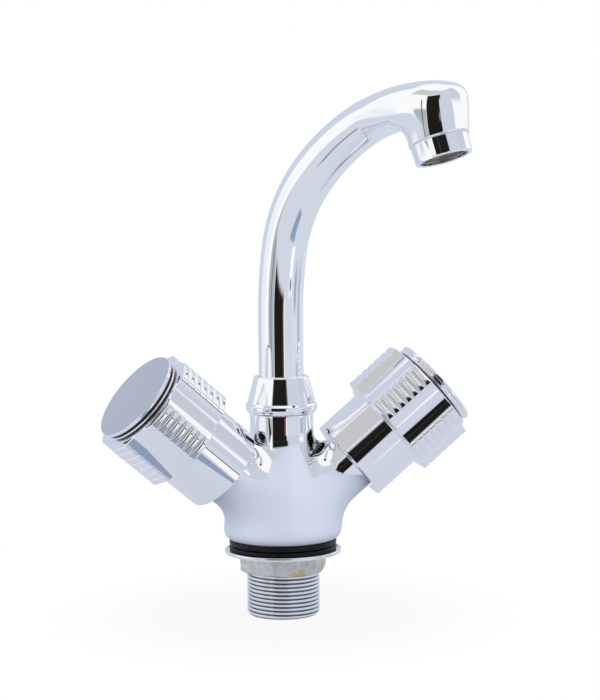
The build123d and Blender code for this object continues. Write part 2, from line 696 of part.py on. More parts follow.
def valve_washer():
    return ring(WASHER_SCREW_R + RUN_GAP, VALVE_WASHER_R, PLUNGER_START - VALVE_WASHER_T, PLUNGER_START)


def washer_screw():
    """The small screw that holds the valve washer under the plunger."""
    z0 = PLUNGER_START - VALVE_WASHER_T
    head = rod(WASHER_SCREW_HEAD_R, z0 - WASHER_SCREW_HEAD_T, z0)
    slot = Pos(0, 0, z0 - WASHER_SCREW_HEAD_T) * Box(
        3 * WASHER_SCREW_HEAD_R, WASHER_SCREW_SLOT_W, 2 * WASHER_SCREW_SLOT_DEPTH)
    return head - slot + rod(WASHER_SCREW_R, z0, PLUNGER_START + WASHER_SCREW_GRIP)


def lobe():
    """One raised grip pad on the +X side of the knob, with ribs that run out at its round crest."""
    length = LOBE_END - LOBE_START
    pitch = length / RIB_COUNT
    valley = LOBE_R - RIB_H
    ridge = LOBE_R + RIB_TRIM
    crest = []
    for k in range(RIB_COUNT):
        z0 = LOBE_START + k * pitch
        crest.append(ThreePointArc((valley, 0, z0), (ridge, 0, z0 + pitch / 2), (valley, 0, z0 + pitch)))
    base = Polyline(
        (valley, 0, LOBE_END),
        (LOBE_ROOT_R, 0, LOBE_END),
        (LOBE_ROOT_R, 0, LOBE_START),
        (valley, 0, LOBE_START),
    )
    slab = extrude(make_face(crest + [base]), LOBE_ROOT_HALF_W + OVERRUN, both=True)
    crest_r = LOBE_R + OVERRUN
    slope = (LOBE_ROOT_HALF_W - LOBE_CREST_HALF_W) / (LOBE_R - LOBE_ROOT_R)
    crest_half = LOBE_CREST_HALF_W - slope * OVERRUN
    end_view = Polyline(
        (LOBE_ROOT_R, -LOBE_ROOT_HALF_W, LOBE_START),
        (crest_r, -crest_half, LOBE_START),
        (crest_r, crest_half, LOBE_START),
        (LOBE_ROOT_R, LOBE_ROOT_HALF_W, LOBE_START),
        close=True,
    )
    pad = slab & extrude(make_face(end_view), length, dir=(0, 0, 1))
    return pad & rod(LOBE_R, LOBE_START, LOBE_END)


def knob(turn_deg):
    """Hollow knob shell: smooth skirt, ribbed grip, web and splined hub."""
    shell = turned([
        (0, SKIRT_START),
        (SKIRT_R, SKIRT_START),
        (SKIRT_R, GRIP_START),
        (GRIP_R, GRIP_START),
        (GRIP_R, GRIP_END),
        (0, GRIP_END),
    ])
    shell = fillet(edges_at(shell, SKIRT_R, SKIRT_START), SKIRT_EDGE_ROUND)
    shell = fillet(edges_at(shell, GRIP_R, GRIP_START), GRIP_EDGE_ROUND)
    pad = lobe()
    for k in range(LOBE_COUNT):
        shell = shell + Rot(0, 0, turn_deg + 360 * k / LOBE_COUNT) * pad
    web_start = SPLINE_END - WEB_T
    shell = shell - rod(SKIRT_R - SKIRT_WALL, SKIRT_START, GRIP_START - OVERRUN)
    shell = shell - rod(GRIP_R - GRIP_WALL, GRIP_START - OVERRUN, web_start)
    shell = shell - rod(CAP_PLUG_R + RUN_GAP, SPLINE_END, GRIP_END)
    shell = shell + rod(HUB_R, HUB_START, web_start)
    return shell - rod(SPLINE_R + RUN_GAP, HUB_START, SPLINE_END)


def trim_ring():
    """The thin bright ring between the grip and the cap, on its own collar."""
    bore_r = CAP_PLUG_R + RUN_GAP
    return ring(bore_r, TRIM_R, TRIM_AT, CAP_NECK_AT) + ring(bore_r, CAP_NECK_R, GRIP_END, TRIM_AT)


def index_cap():
    """The plain disc that closes the knob's outer end."""
    inner_r = CAP_PLUG_R - CAP_PLUG_WALL
    cap = turned([
        (0, CAP_END - CAP_DISC_T),
        (inner_r, CAP_END - CAP_DISC_T),
        (inner_r, GRIP_END - CAP_PLUG_DEPTH),
        (CAP_PLUG_R, GRIP_END - CAP_PLUG_DEPTH),
        (CAP_PLUG_R, CAP_NECK_AT),
        (CAP_NECK_R, CAP_NECK_AT),
        (CAP_NECK_R, CAP_RIM_AT),
        (CAP_R, CAP_RIM_AT),
        (CAP_R, CAP_END),
        (0, CAP_END),
    ])
    return fillet(edges_at(cap, CAP_R, CAP_END), CAP_EDGE_ROUND)


def knob_screw():
    """The screw that pulls the knob down onto the spindle."""
    head_end = SPLINE_END + KNOB_SCREW_HEAD_T
    screw = rod(KNOB_SCREW_R, SPLINE_END - KNOB_SCREW_LENGTH, SPLINE_END)
    screw = screw + rod(KNOB_SCREW_HEAD_R, SPLINE_END, head_end)
    return screw - hexagon(KNOB_SCREW_SOCKET_FLATS, head_end - KNOB_SCREW_SOCKET_DEPTH, head_end)


def handle_and_valve(turn_deg):
    """The pieces that sit along one arm, drawn upright."""
    return {
        "bonnet": bonnet(),
        "bonnet_seal": bonnet_seal(),
        "spindle": spindle(),
        "spindle_o_rings": o_rings(SPINDLE_RING_CENTRE_R, SPINDLE_RING_WIRE_R, spindle_ring_places()),
        "circlip": circlip(),
        "plunger": plunger(),
        "valve_washer": valve_washer(),
        "washer_screw": washer_screw(),
        "knob": knob(turn_deg),
        "trim_ring": trim_ring(),
        "index_cap": index_cap(),
        "knob_screw": knob_screw(),
    }


def sub_parts():
    """Every node's name and solid."""
    parts = {
        "mixer_body": mixer_body(),
        "threaded_sleeve": threaded_sleeve(),
        "base_gasket": gasket(0),
        "spout_collar": spout_collar(),
        "clamp_gasket": gasket(WASHER_TOP_Z),
        "clamp_washer": clamp_washer(),
        "clamp_nut": clamp_nut(),
        "swan_neck": swan_neck(),
        "spout_o_rings": o_rings(SPOUT_RING_CENTRE_R, SPOUT_RING_WIRE_R, spout_ring_zs()),
        "spout_retaining_ring": spout_retaining_ring(),
        "aerator_housing": aerator_housing(),
        "aerator_seal": aerator_seal(),
        "aerator_insert": aerator_insert(),
        "aerator_screen": aerator_screen(),
    }
    for name, side, turn_deg in (("hot", -1, HOT_LOBE_TURN_DEG), ("cold", 1, COLD_LOBE_TURN_DEG)):
        for piece, solid in handle_and_valve(turn_deg).items():
            parts[name + "_" + piece] = on_arm(side, solid)
    return parts


def main():
    os.makedirs("parts", exist_ok=True)
    for name, solid in sub_parts().items():
        export_step(solid, os.path.join("parts", name + ".step"))
        print(name, round(solid.volume, 1))


main()
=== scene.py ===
import json
import math

import bpy
import numpy as np
from mathutils import Matrix, Vector


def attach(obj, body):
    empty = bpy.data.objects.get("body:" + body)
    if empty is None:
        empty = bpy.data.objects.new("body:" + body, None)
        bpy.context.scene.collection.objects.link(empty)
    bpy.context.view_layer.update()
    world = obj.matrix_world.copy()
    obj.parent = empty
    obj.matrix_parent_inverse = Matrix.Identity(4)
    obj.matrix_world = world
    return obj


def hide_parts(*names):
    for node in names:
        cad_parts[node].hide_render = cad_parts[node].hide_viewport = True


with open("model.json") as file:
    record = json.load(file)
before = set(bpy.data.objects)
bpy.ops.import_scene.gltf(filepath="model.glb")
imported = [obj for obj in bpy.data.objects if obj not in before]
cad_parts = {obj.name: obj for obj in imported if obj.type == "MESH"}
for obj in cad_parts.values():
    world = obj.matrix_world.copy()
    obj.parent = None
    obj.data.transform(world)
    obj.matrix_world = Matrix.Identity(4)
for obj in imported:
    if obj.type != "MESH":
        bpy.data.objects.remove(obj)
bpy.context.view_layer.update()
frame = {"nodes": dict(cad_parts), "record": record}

# Sizes are in millimetres and degrees unless a name says otherwise, and meshes are written in metres.
MM = 0.001

# Photograph's camera, fitted to the rings, caps and edges that it shows
CAMERA_DISTANCE = 900.0
CAMERA_HEIGHT = 168.7
CAMERA_AZIMUTH = -18.6
CAMERA_PITCH = 5.106
CAMERA_YAW = 0.551
CAMERA_ROLL = -0.59
FOCAL_PIXELS = 1999.2
PHOTO_HEIGHT_PIXELS = 700.0
SENSOR_HEIGHT = 36.0
CLIP_START = 10.0

# Stage: the floor in millimetres, the lamps in metres and watts
FLOOR_R = 130.0
FLOOR_GAP = 0.2
FLOOR_TONE = (0.9, 0.9, 0.92, 1.0)
FLOOR_WHITE_NEAR = 0.94
FLOOR_FADE_START = 0.25
FLOOR_FADE_END = 0.9
LAMP_SIZE = 1.2
LAMP_DISTANCE = 1.1
LAMP_RISE = 0.2
LAMP_POWER = 3.6
LAMP_TURNS = (-60.0, 0.0, 60.0)

# Body
FOOT_Z = 2.8
FOOT_R = 24.4
BASE_R = 26.75
BASE_BEAD_TOP_Z = 7.4
BASE_BEAD_POWER = 2.4
BASE_BEAD_REACH = 1.2
BELL_HEIGHTS = (BASE_BEAD_TOP_Z, 14.0, 28.0, 43.5, 52.0)
BELL_RADII = (BASE_R, 25.9, 23.6, 16.3, 14.35)
TURRET_TOP_Z = 60.2
ARM_MEET = (0.0, -2.0, 11.1)
ARM_RISE = 40.3
ARM_SWEEP = 7.5
ARM_R = 14.0
ARM_START = 13.0
ARM_END = 43.5
ARM_BLEND = 7.0
EDGE_BLEND = 0.7
BODY_STEP = 0.9
SLOPE_STEP = 0.05
BODY_LOW = (-50.0, -28.0, 1.5)
BODY_HIGH = (50.0, 28.0, 61.5)

# Body's painted reflection of the pale table, a paler and rougher lavender zone below the arms: its upper
# edge, and how far and between which angles that rises in front
PAINTED_REFLECTION_TOP_Z = 30.0
PAINTED_REFLECTION_FRONT_RISE = 13.0
PAINTED_REFLECTION_FRONT_FROM = -33.0
PAINTED_REFLECTION_FRONT_TO = 16.0
PAINTED_REFLECTION_FRONT_SOFT = 5.0
PAINTED_REFLECTION_WAVE = 6.0
PAINTED_REFLECTION_EDGE = 0.8

# Shank
SHANK_R = 16.5
SHANK_PLAIN_R = SHANK_R - 0.2
SHANK_BORE_R = 13.0
SHANK_MOUTH_R = 15.2
SHANK_END_Z = -32.1
SHANK_CHAMFER = 1.1
SHANK_CHAMFER_H = 1.2
THREAD_PITCH = 1.8
THREAD_DEPTH = 0.95
THREAD_FLANK = (0.42, 0.92)
THREAD_ROOT_SHARE = 0.8
THREAD_CREST_SHARE = 0.15
THREAD_FADE_Z = (-1.0, 0.5)
SLEEVE_TOP_R = 14.95
SLEEVE_TOP_Z = 10.8

# Gaskets, washer and nut
GASKET_R = 24.4
GASKET_BORE_R = 17.0
GASKET_T = 2.8
GASKET_BULGE = 0.1
GASKET_ROUNDS = (0, 1.0, 0.6, 1.0, 0)
CLAMP_TOP_Z = -0.2
WASHER_R = 26.45
WASHER_BORE_R = 16.8
WASHER_T = 1.2
WASHER_LIP_H = 1.0
WASHER_LIP_T = 0.9
WASHER_ROUNDS = (0.2, 0.8, 0.7, 0.43, 0.43, 0.3, 0.3, 0.2)
NUT_TOP_Z = -4.25
NUT_HEIGHT = 8.0
NUT_FLATS = 36.0
NUT_CORNER_R = 20.5
NUT_CORNER_BLEND = 0.6
NUT_FACE_BLEND = 0.5
NUT_TOP_FACE_R = 19.4
NUT_TOP_SLOPE = 1.2
NUT_BOTTOM_FACE_R = 18.3
NUT_BOTTOM_SLOPE = 1.5
NUT_CONE_LIMIT_R = 30.0
NUT_INNER_EDGE_R = 17.6
NUT_BORE_R = 16.55
NUT_BRASS_LEAN = 7.0
NUT_BRASS_EDGE = (0.50, 0.62)
# Waves of the nut's rough sides, as (length, height, seed)
NUT_RIPPLES = ((5.0, 0.07, 3), (1.6, 0.03, 4))
NUT_RIPPLE_LIMIT = 0.03

# Collar: its section as (radius, height), and the round at each corner
COLLAR_SECTION = (
    (13.65, TURRET_TOP_Z), (15.3, TURRET_TOP_Z), (15.5, 60.9), (16.2, 61.9), (16.2, 63.6), (15.45, 64.7),
    (12.25, 76.8), (10.45, 76.8), (10.45, 69.8), (12.2, 69.8), (12.2, 67.3), (13.65, 67.3),
)
COLLAR_ROUNDS = (0, 0.4, 0.5, 0.8, 0.8, 0.6, 0.7, 0.3, 0.1, 0.1, 0.1, 0.1)

# Spout's spigot and tube, upright
SPOUT_SWING = 34.0
SPIGOT_R = 9.9
SPIGOT_BORE_R = 7.8
SPIGOT_Z = 44.3
TUBE_FOOT_Z = 69.5
TUBE_R = 10.15
TUBE_STRAIGHT_Z = 101.8
TUBE_STEP = 1.0
SPIGOT_SECTION = (
    (SPIGOT_BORE_R, SPIGOT_Z + 0.1), (SPIGOT_R - 0.3, SPIGOT_Z), (SPIGOT_R, SPIGOT_Z + 0.3),
    (SPIGOT_R, TUBE_FOOT_Z - 0.3), (TUBE_R - 0.2, TUBE_FOOT_Z - 0.2), (TUBE_R, TUBE_FOOT_Z),
)

# Tube's bends in the side view, as (radius, lean at the end, half thickness there, half width there)
TUBE_BENDS = ((200.0, 9.0, 10.25, 10.25), (66.0, 42.0, 10.3, 10.7), (100.0, 64.7, 9.6, 11.3))
# Hood's outlines in the side view, as (distance from the column, height), and its half widths, as
# (share of its length, half width)
HOOD_TOP = ((60.0, 203.25), (74.0, 205.7), (88.5, 206.1), (95.2, 203.4), (97.05, 197.0))
HOOD_UNDER = ((60.5, 184.6), (66.0, 185.9), (70.0, 184.4), (72.1, 180.9))
HOOD_HALF_WIDTHS = ((0.0, 11.3), (0.3, 13.4), (0.6, 15.0), (0.85, 14.4), (1.0, 13.3))
HOOD_SQUARE = 3.0
HOOD_SQUARE_END = 0.95
HOOD_STATIONS = 90
HOOD_OVERLAP = 3
OUTLINE_SOFTENING = 10
WIDTH_SOFTENING = 60
NOSE_TILT = 18.1
NOSE_CENTRE = (85.36, 181.16)
NOSE_RIM_R = 13.3
# The nose's socket as (radius, depth above the rim)
NOSE_SOCKET = (
    (NOSE_RIM_R - 0.25, -0.12), (11.6, 0.0), (11.5, 6.0), (8.4, 6.2), (8.4, 14.0), (0.5, 14.5),
)

# Outlet sleeve: its section as (radius, height above the nose's rim), and the round at each corner
AERATOR_H = 8.3
AERATOR_BOTTOM_R = 12.3
AERATOR_BORE_R = 10.4
AERATOR_SECTION = (
    (AERATOR_BORE_R, -AERATOR_H), (AERATOR_BOTTOM_R, -AERATOR_H), (12.6, -0.05), (11.4, -0.05),
    (11.4, 5.2), (8.8, 5.2), (8.8, 4.0), (AERATOR_BORE_R, 4.0),
)
AERATOR_ROUNDS = (0.35, 0.6, 0.3, 0.1, 0.2, 0.1, 0.1, 0.1)
AERATOR_FLAT_TURNS = (176.0, 356.0)
AERATOR_FLAT_DEPTH = 0.75
AERATOR_FLAT_HALF_TURN = 0.24
AERATOR_FLAT_TOP = -5.6
AERATOR_SKIRT_R = 11.7

# Knobs, along the arm from where the arms meet
SKIRT_START = 39.8
SKIRT_R = 20.1
SKIRT_INNER_R = 18.9
GRIP_START = 62.4
GRIP_END = 89.7
LOBE_START = 63.2
LOBE_END = 89.5
LOBE_R = 26.0
LOBE_COUNT = 6
FLUTE_R = 16.0
FLUTE_FLOOR_R = 22.6
FLUTE_BLEND = 0.25
RIB_COUNT = 7
RIB_H = 1.15
RIB_TRIM = 0.15
# Where the mesh is finer: angles from a lobe's middle as (from, to, count), and steps along the arm
LOBE_ANGLES = ((0.0, 9.0, 8), (9.6, 15.0, 20), (16.0, 30.0, 11))
SKIRT_ROWS = 14
GRIP_START_STEPS = (-0.12, -0.04, 0.02, 0.12, 0.3, 0.45)
LOBE_START_STEPS = (-0.12, -0.03, 0.03, 0.12, 0.25, 0.35)
LOBE_END_STEPS = (-0.35, -0.25, -0.12, -0.03, 0.03, 0.1)
HOT_LOBE_TURN = -8.5
COLD_LOBE_TURN = 30.5

# Knob's inside from its hub to the skirt's mouth, and its outer end, as (radius, place along the arm)
KNOB_INSIDE = (
    (4.0, 80.0), (4.0, 65.0), (6.9, 64.8), (7.0, 76.6), (7.3, 77.0), (17.6, 77.0), (18.0, 76.6),
    (18.0, 61.6), (18.6, 61.2), (SKIRT_INNER_R, 60.8), (SKIRT_INNER_R, SKIRT_START + 0.4),
    (SKIRT_INNER_R + 0.15, SKIRT_START + 0.12), (SKIRT_INNER_R + 0.4, SKIRT_START),
    (SKIRT_R - 0.4, SKIRT_START), (SKIRT_R - 0.12, SKIRT_START + 0.12), (SKIRT_R, SKIRT_START + 0.35),
)
KNOB_OUTER_END = (
    (FLUTE_FLOOR_R - 0.12, GRIP_END - 0.12), (FLUTE_FLOOR_R - 0.3, GRIP_END), (17.85, GRIP_END),
    (17.65, GRIP_END - 0.2), (17.65, 80.2), (17.4, 80.0),
)

# Trim ring and cap, along the arm as well
TRIM_START = 90.7
TRIM_END = 91.5
TRIM_R = 21.3
TRIM_ROUNDS = (0, 0.05, 0.1, 0.25, 0.25, 0)
CAP_RIM_START = 92.8
CAP_END = 94.3
CAP_R = 21.4
CAP_NECK_R = 20.1
CAP_PLUG_R = 17.6
CAP_PLUG_WALL = 1.4
CAP_PLUG_START = 85.7
CAP_FLOOR = 91.6
CAP_ROUNDS = (0, 0, 0.2, 0.2, 0.2, 0.1, 0.1, 0.1, 0.25, 0.5, 0, 0)

# How finely the meshes are made
ROUND_STEPS = 6
ROUND_SHARE = 0.49
ROUND_HOLD = 0.25
LATHE_SEGMENTS = 192
SPOUT_SEGMENTS = 128
SHANK_SEGMENTS = 144
FLOOR_SEGMENTS = 96
NUT_SIDE_SEGMENTS = 26
NUT_ROWS = 26
THREAD_ROWS = 16
RIB_ROWS = 16
RIPPLE_WAVES = 14
NET_ROUNDS = 8
NET_SLOPE_LEAST = 0.2

DEGREES_PER_RADIAN = 180.0 / math.pi


def smoothstep(low, high, value):
    share = np.clip((value - low) / (high - low), 0.0, 1.0)
    return share * share * (3.0 - 2.0 * share)


def cubic_spline(xs, ys):
    """A smooth curve through the points, level at both ends."""
    xs = np.asarray(xs, float)
    ys = np.asarray(ys, float)
    n = len(xs)
    h = np.diff(xs)
    system = np.zeros((n, n))
    right = np.zeros(n)
    system[0, 0] = 1.0
    system[-1, -1] = 1.0
    for i in range(1, n - 1):
        system[i, i - 1] = 1.0 / h[i - 1]
        system[i, i] = 2.0 / h[i - 1] + 2.0 / h[i]
        system[i, i + 1] = 1.0 / h[i]
        right[i] = 3.0 * ((ys[i] - ys[i - 1]) / h[i - 1] ** 2 + (ys[i + 1] - ys[i]) / h[i] ** 2)
    slopes = np.linalg.solve(system, right)

    def evaluate(x):
        i = np.clip(np.searchsorted(xs, x) - 1, 0, n - 2)
        t = (x - xs[i]) / h[i]
        a = ys[i] * (1 + 2 * t) * (1 - t) ** 2 + slopes[i] * h[i] * t * (1 - t) ** 2
        b = ys[i + 1] * t * t * (3 - 2 * t) + slopes[i + 1] * h[i] * t * t * (t - 1)
        return a + b

    return evaluate


def rounded(points, radii):
    """A closed profile with its corners rounded, and a point held close to each end of each round."""
    out = []
    n = len(points)
    for i in range(n):
        p = Vector(points[i])
        if radii[i] <= 0:
            out.append(p)
            continue
        a = Vector(points[i - 1]) - p
        b = Vector(points[(i + 1) % n]) - p
        room = ROUND_SHARE * min(a.length, b.length)
        a.normalize()
        b.normalize()
        half = a.angle(b) / 2
        reach = min(radii[i] / math.tan(half), room)
        r = reach * math.tan(half)
        centre = p + (a + b).normalized() * (r / math.sin(half))
        start = p + a * reach
        end = p + b * reach
        if reach + ROUND_HOLD < room:
            out.append(start + a * ROUND_HOLD)
        from_start = start - centre
        turn = from_start.angle_signed(end - centre)
        for k in range(ROUND_STEPS + 1):
            out.append(centre + Matrix.Rotation(-turn * k / ROUND_STEPS, 2) @ from_start)
        if reach + ROUND_HOLD < room:
            out.append(end + b * ROUND_HOLD)
    return [(q[0], q[1]) for q in out]


def object_from(name, points, faces, matrix=None):
    """A smooth-shaded mesh object from points in millimetres."""
    points = np.asarray(points, float)
    if matrix is not None:
        m = np.array(matrix)
        points = points @ m[:3, :3].T + m[:3, 3]
    mesh = bpy.data.meshes.new(name)
    mesh.from_pydata((points * MM).tolist(), [], faces)
    mesh.validate()
    mesh.shade_smooth()
    piece = bpy.data.objects.new(name, mesh)
    bpy.context.scene.collection.objects.link(piece)
    return piece


def grid_faces(rows, columns, wrap_rows=False):
    """Quads of a grid whose columns close on themselves."""
    faces = []
    last = rows if wrap_rows else rows - 1
    for i in range(last):
        a = i * columns
        b = ((i + 1) % rows) * columns
        for j in range(columns):
            k = (j + 1) % columns
            faces.append((a + j, a + k, b + k, b + j))
    return faces


def grid_object(name, rows, matrix=None, wrap_rows=False, caps=False):
    """An object from rings of points, each ring a row."""
    rows = np.asarray(rows, float)
    n, m = rows.shape[:2]
    faces = grid_faces(n, m, wrap_rows)
    if caps:
        faces.append(tuple(range(m - 1, -1, -1)))
        faces.append(tuple(range((n - 1) * m, n * m)))
    return object_from(name, rows.reshape(-1, 3), faces, matrix)


def circle_row(angles, r, z):
    """One ring of points, whose radius may change with the angle."""
    return np.stack([r * np.cos(angles), r * np.sin(angles), np.full_like(angles, z)], axis=1)


def ring_angles(count):
    return np.linspace(0.0, 2 * math.pi, count, endpoint=False)


def lathe(name, profile, matrix=None, marks=None):
    """A closed (radius, height) profile turned about the Z axis.

    marks(radius, height) gives the number of the piece's material there.
    """
    angles = ring_angles(LATHE_SEGMENTS)
    rows = [circle_row(angles, r, z) for r, z in profile]
    piece = grid_object(name, rows, matrix, wrap_rows=True)
    if marks is not None:
        profile = np.asarray(profile, float)
        middle = (profile + np.roll(profile, -1, axis=0)) / 2
        numbers = [marks(r, z) for r, z in middle]
        for _ in range(max(numbers) + 1):
            piece.data.materials.append(None)
        numbers = np.repeat(numbers, LATHE_SEGMENTS).astype(np.int32)
        piece.data.polygons.foreach_set("material_index", numbers)
    return piece


def arm_matrix(side):
    """From the arm's own frame, with Z out along the arm, to the tap's."""
    rise = math.radians(ARM_RISE)
    sweep = math.radians(ARM_SWEEP)
    flat = math.cos(rise)
    along = Vector((side * flat * math.cos(sweep), -flat * math.sin(sweep), math.sin(rise)))
    across = Vector((side * math.sin(sweep), math.cos(sweep), 0.0))
    third = along.cross(across)
    matrix = Matrix((across, third, along)).transposed().to_4x4()
    matrix.translation = Vector(ARM_MEET)
    return matrix


def blend_min(a, b, radius):
    """The nearer of two distances, with a round of this radius where they meet."""
    h = np.maximum(radius - np.abs(a - b), 0.0) / radius
    return np.minimum(a, b) - radius * 0.5 * (1.0 + h - np.sqrt(1.0 - h * (h - 2.0)))


def blend_max(a, b, radius):
    return -blend_min(-a, -b, radius)


BELL = cubic_spline(BELL_HEIGHTS, BELL_RADII)


def bell_radius(z):
    """Outer radius of the bell and turret at each height."""
    bead_share = np.clip((BASE_BEAD_TOP_Z - z) / (BASE_BEAD_TOP_Z - FOOT_Z), 0.0, BASE_BEAD_REACH)
    bead = BASE_R - (BASE_R - FOOT_R) * bead_share ** BASE_BEAD_POWER
    flank = BELL(np.clip(z, BELL_HEIGHTS[0], BELL_HEIGHTS[-1]))
    return np.where(z < BASE_BEAD_TOP_Z, bead, flank)


def body_field(p):
    """Signed distance, near enough, from the body's outer surface."""
    x, y, z = p[:, 0], p[:, 1], p[:, 2]
    slope = (bell_radius(z + SLOPE_STEP) - bell_radius(z - SLOPE_STEP)) / (2 * SLOPE_STEP)
    field = (np.hypot(x, y) - bell_radius(z)) / np.sqrt(1.0 + slope ** 2)
    for side in (-1, 1):
        local = (p - np.array(ARM_MEET)) @ np.array(arm_matrix(side))[:3, :3]
        wall = np.hypot(local[:, 0], local[:, 1]) - ARM_R
        arm = np.maximum(wall, ARM_START - local[:, 2])
        arm = blend_max(arm, local[:, 2] - ARM_END, EDGE_BLEND)
        field = blend_min(field, arm, ARM_BLEND)
    field = blend_max(field, z - TURRET_TOP_Z, EDGE_BLEND)
    return blend_max(field, FOOT_Z - z, EDGE_BLEND)


def gradient(field, p, step=0.02):
    parts = []
    for axis in range(3):
        shift = np.zeros(3)
        shift[axis] = step
        parts.append((field(p + shift) - field(p - shift)) / (2 * step))
    return np.stack(parts, axis=1)


def net_surface(name, field, low, high, step):
    """A quad mesh of the surface where a field is zero, with its exact normals."""
    axes = [np.arange(a, b + step, step) for a, b in zip(low, high)]
    grid = np.stack(np.meshgrid(*axes, indexing="ij"), axis=-1)
    shape = grid.shape[:3]
    value = field(grid.reshape(-1, 3)).reshape(shape)
    inside = value < 0
    total = np.zeros(tuple(s - 1 for s in shape) + (3,))
    count = np.zeros(tuple(s - 1 for s in shape))
    for axis in range(3):
        a = [slice(None)] * 3
        b = [slice(None)] * 3
        a[axis] = slice(0, -1)
        b[axis] = slice(1, None)
        va, vb = value[tuple(a)], value[tuple(b)]
        crossing = inside[tuple(a)] != inside[tuple(b)]
        share = np.where(crossing, va / np.where(crossing, va - vb, 1.0), 0.0)
        point = grid[tuple(a)] + share[..., None] * (grid[tuple(b)] - grid[tuple(a)])
        others = [k for k in range(3) if k != axis]
        for da in (0, 1):
            for db in (0, 1):
                part = [slice(None)] * 3
                part[others[0]] = slice(da, shape[others[0]] - 1 + da)
                part[others[1]] = slice(db, shape[others[1]] - 1 + db)
                hit = crossing[tuple(part)]
                total += np.where(hit[..., None], point[tuple(part)], 0.0)
                count += hit
    cells = count > 0
    number = -np.ones(cells.shape, int)
    number[cells] = np.arange(int(cells.sum()))
    points = total[cells] / count[cells][:, None]
    for _ in range(NET_ROUNDS):
        g = gradient(field, points)
        steep = np.maximum((g * g).sum(1), NET_SLOPE_LEAST)
        points = points - np.clip(field(points), -step, step)[:, None] * g / steep[:, None]
    faces = []
    for axis in range(3):
        a = [slice(1, -1)] * 3
        b = [slice(1, -1)] * 3
        a[axis] = slice(0, -1)
        b[axis] = slice(1, None)
        start = inside[tuple(a)]
        end = inside[tuple(b)]
        spot = np.nonzero(start != end)
        out = start[spot]
        u, v = [n for n in range(3) if n != axis]
        cell = [s + (n != axis) for n, s in enumerate(spot)]
        corner = []
        for du, dv in ((-1, -1), (0, -1), (0, 0), (-1, 0)):
            c = list(cell)
            c[u] = c[u] + du
            c[v] = c[v] + dv
            corner.append(number[tuple(c)])
        quads = np.stack(corner, axis=1)
        turned = out == (axis == 1)
        quads[turned] = quads[turned][:, ::-1]
        faces.append(quads)
    faces = np.concatenate(faces)
    piece = object_from(name, points, faces.tolist())
    normals = gradient(field, points)
    normals /= np.linalg.norm(normals, axis=1)[:, None]
    piece.data.normals_split_custom_set_from_vertices(normals.tolist())
    return piece


def finish_piece(piece, material, body, node):
    """Give a piece its material or materials and its body, in place of a CAD node, which it hides."""
    marks = np.zeros(len(piece.data.polygons), np.int32)
    piece.data.polygons.foreach_get("material_index", marks)
    piece.data.materials.clear()
    for one in material if isinstance(material, tuple) else (material,):
        piece.data.materials.append(one)
    piece.data.polygons.foreach_set("material_index", marks)
    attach(piece, body)
    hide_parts(node)


def math_node(nodes, links, operation, *values, clamp=False):
    """One step of arithmetic on numbers or on other nodes' outputs."""
    node = nodes.new("ShaderNodeMath")
    node.operation = operation
    node.use_clamp = clamp
    for socket, value in zip(node.inputs, values):
        if isinstance(value, (int, float)):
            socket.default_value = value
        else:
            links.new(value, socket)
    return node.outputs[0]


def map_range(nodes, links, value, source=(0.0, 1.0), target=(0.0, 1.0), smooth=False):
    """A value carried from one range to another, evenly or with soft ends."""
    node = nodes.new("ShaderNodeMapRange")
    if smooth:
        node.interpolation_type = "SMOOTHSTEP"
    links.new(value, node.inputs["Value"])
    for socket, number in zip(("From Min", "From Max", "To Min", "To Max"), source + target):
        node.inputs[socket].default_value = number
    return node.outputs[0]


def between(nodes, links, value, low, high, soft):
    """1 where a value lies between two limits, with soft edges."""
    up = map_range(nodes, links, value, (low - soft, low + soft), smooth=True)
    down = map_range(nodes, links, value, (high + soft, high - soft), smooth=True)
    return math_node(nodes, links, "MULTIPLY", up, down)


def split_xyz(nodes, links, vector):
    node = nodes.new("ShaderNodeSeparateXYZ")
    links.new(vector, node.inputs[0])
    return node.outputs


def axis_distance(nodes, links, vector):
    """Distance of a place from the Z axis."""
    x, y, _ = split_xyz(nodes, links, vector)
    across = math_node(nodes, links, "MULTIPLY", x, x)
    along = math_node(nodes, links, "MULTIPLY", y, y)
    return math_node(nodes, links, "SQRT", math_node(nodes, links, "ADD", across, along))


def azimuth_degrees(nodes, links, x, y):
    """Angle about the Z axis, from the front towards +X."""
    angle = math_node(nodes, links, "ARCTAN2", x, math_node(nodes, links, "MULTIPLY", y, -1.0))
    return math_node(nodes, links, "MULTIPLY", angle, DEGREES_PER_RADIAN)


def mix_colour(nodes, links, share, a, b):
    node = nodes.new("ShaderNodeMix")
    node.data_type = "RGBA"
    sockets = [s for s in node.inputs if s.type == "RGBA"]
    for socket, value in ((node.inputs[0], share), (sockets[0], a), (sockets[1], b)):
        if isinstance(value, (int, float)):
            socket.default_value = value
        elif isinstance(value, tuple):
            socket.default_value = value if len(value) == 4 else value + (1.0,)
        else:
            links.new(value, socket)
    return [s for s in node.outputs if s.type == "RGBA"][0]


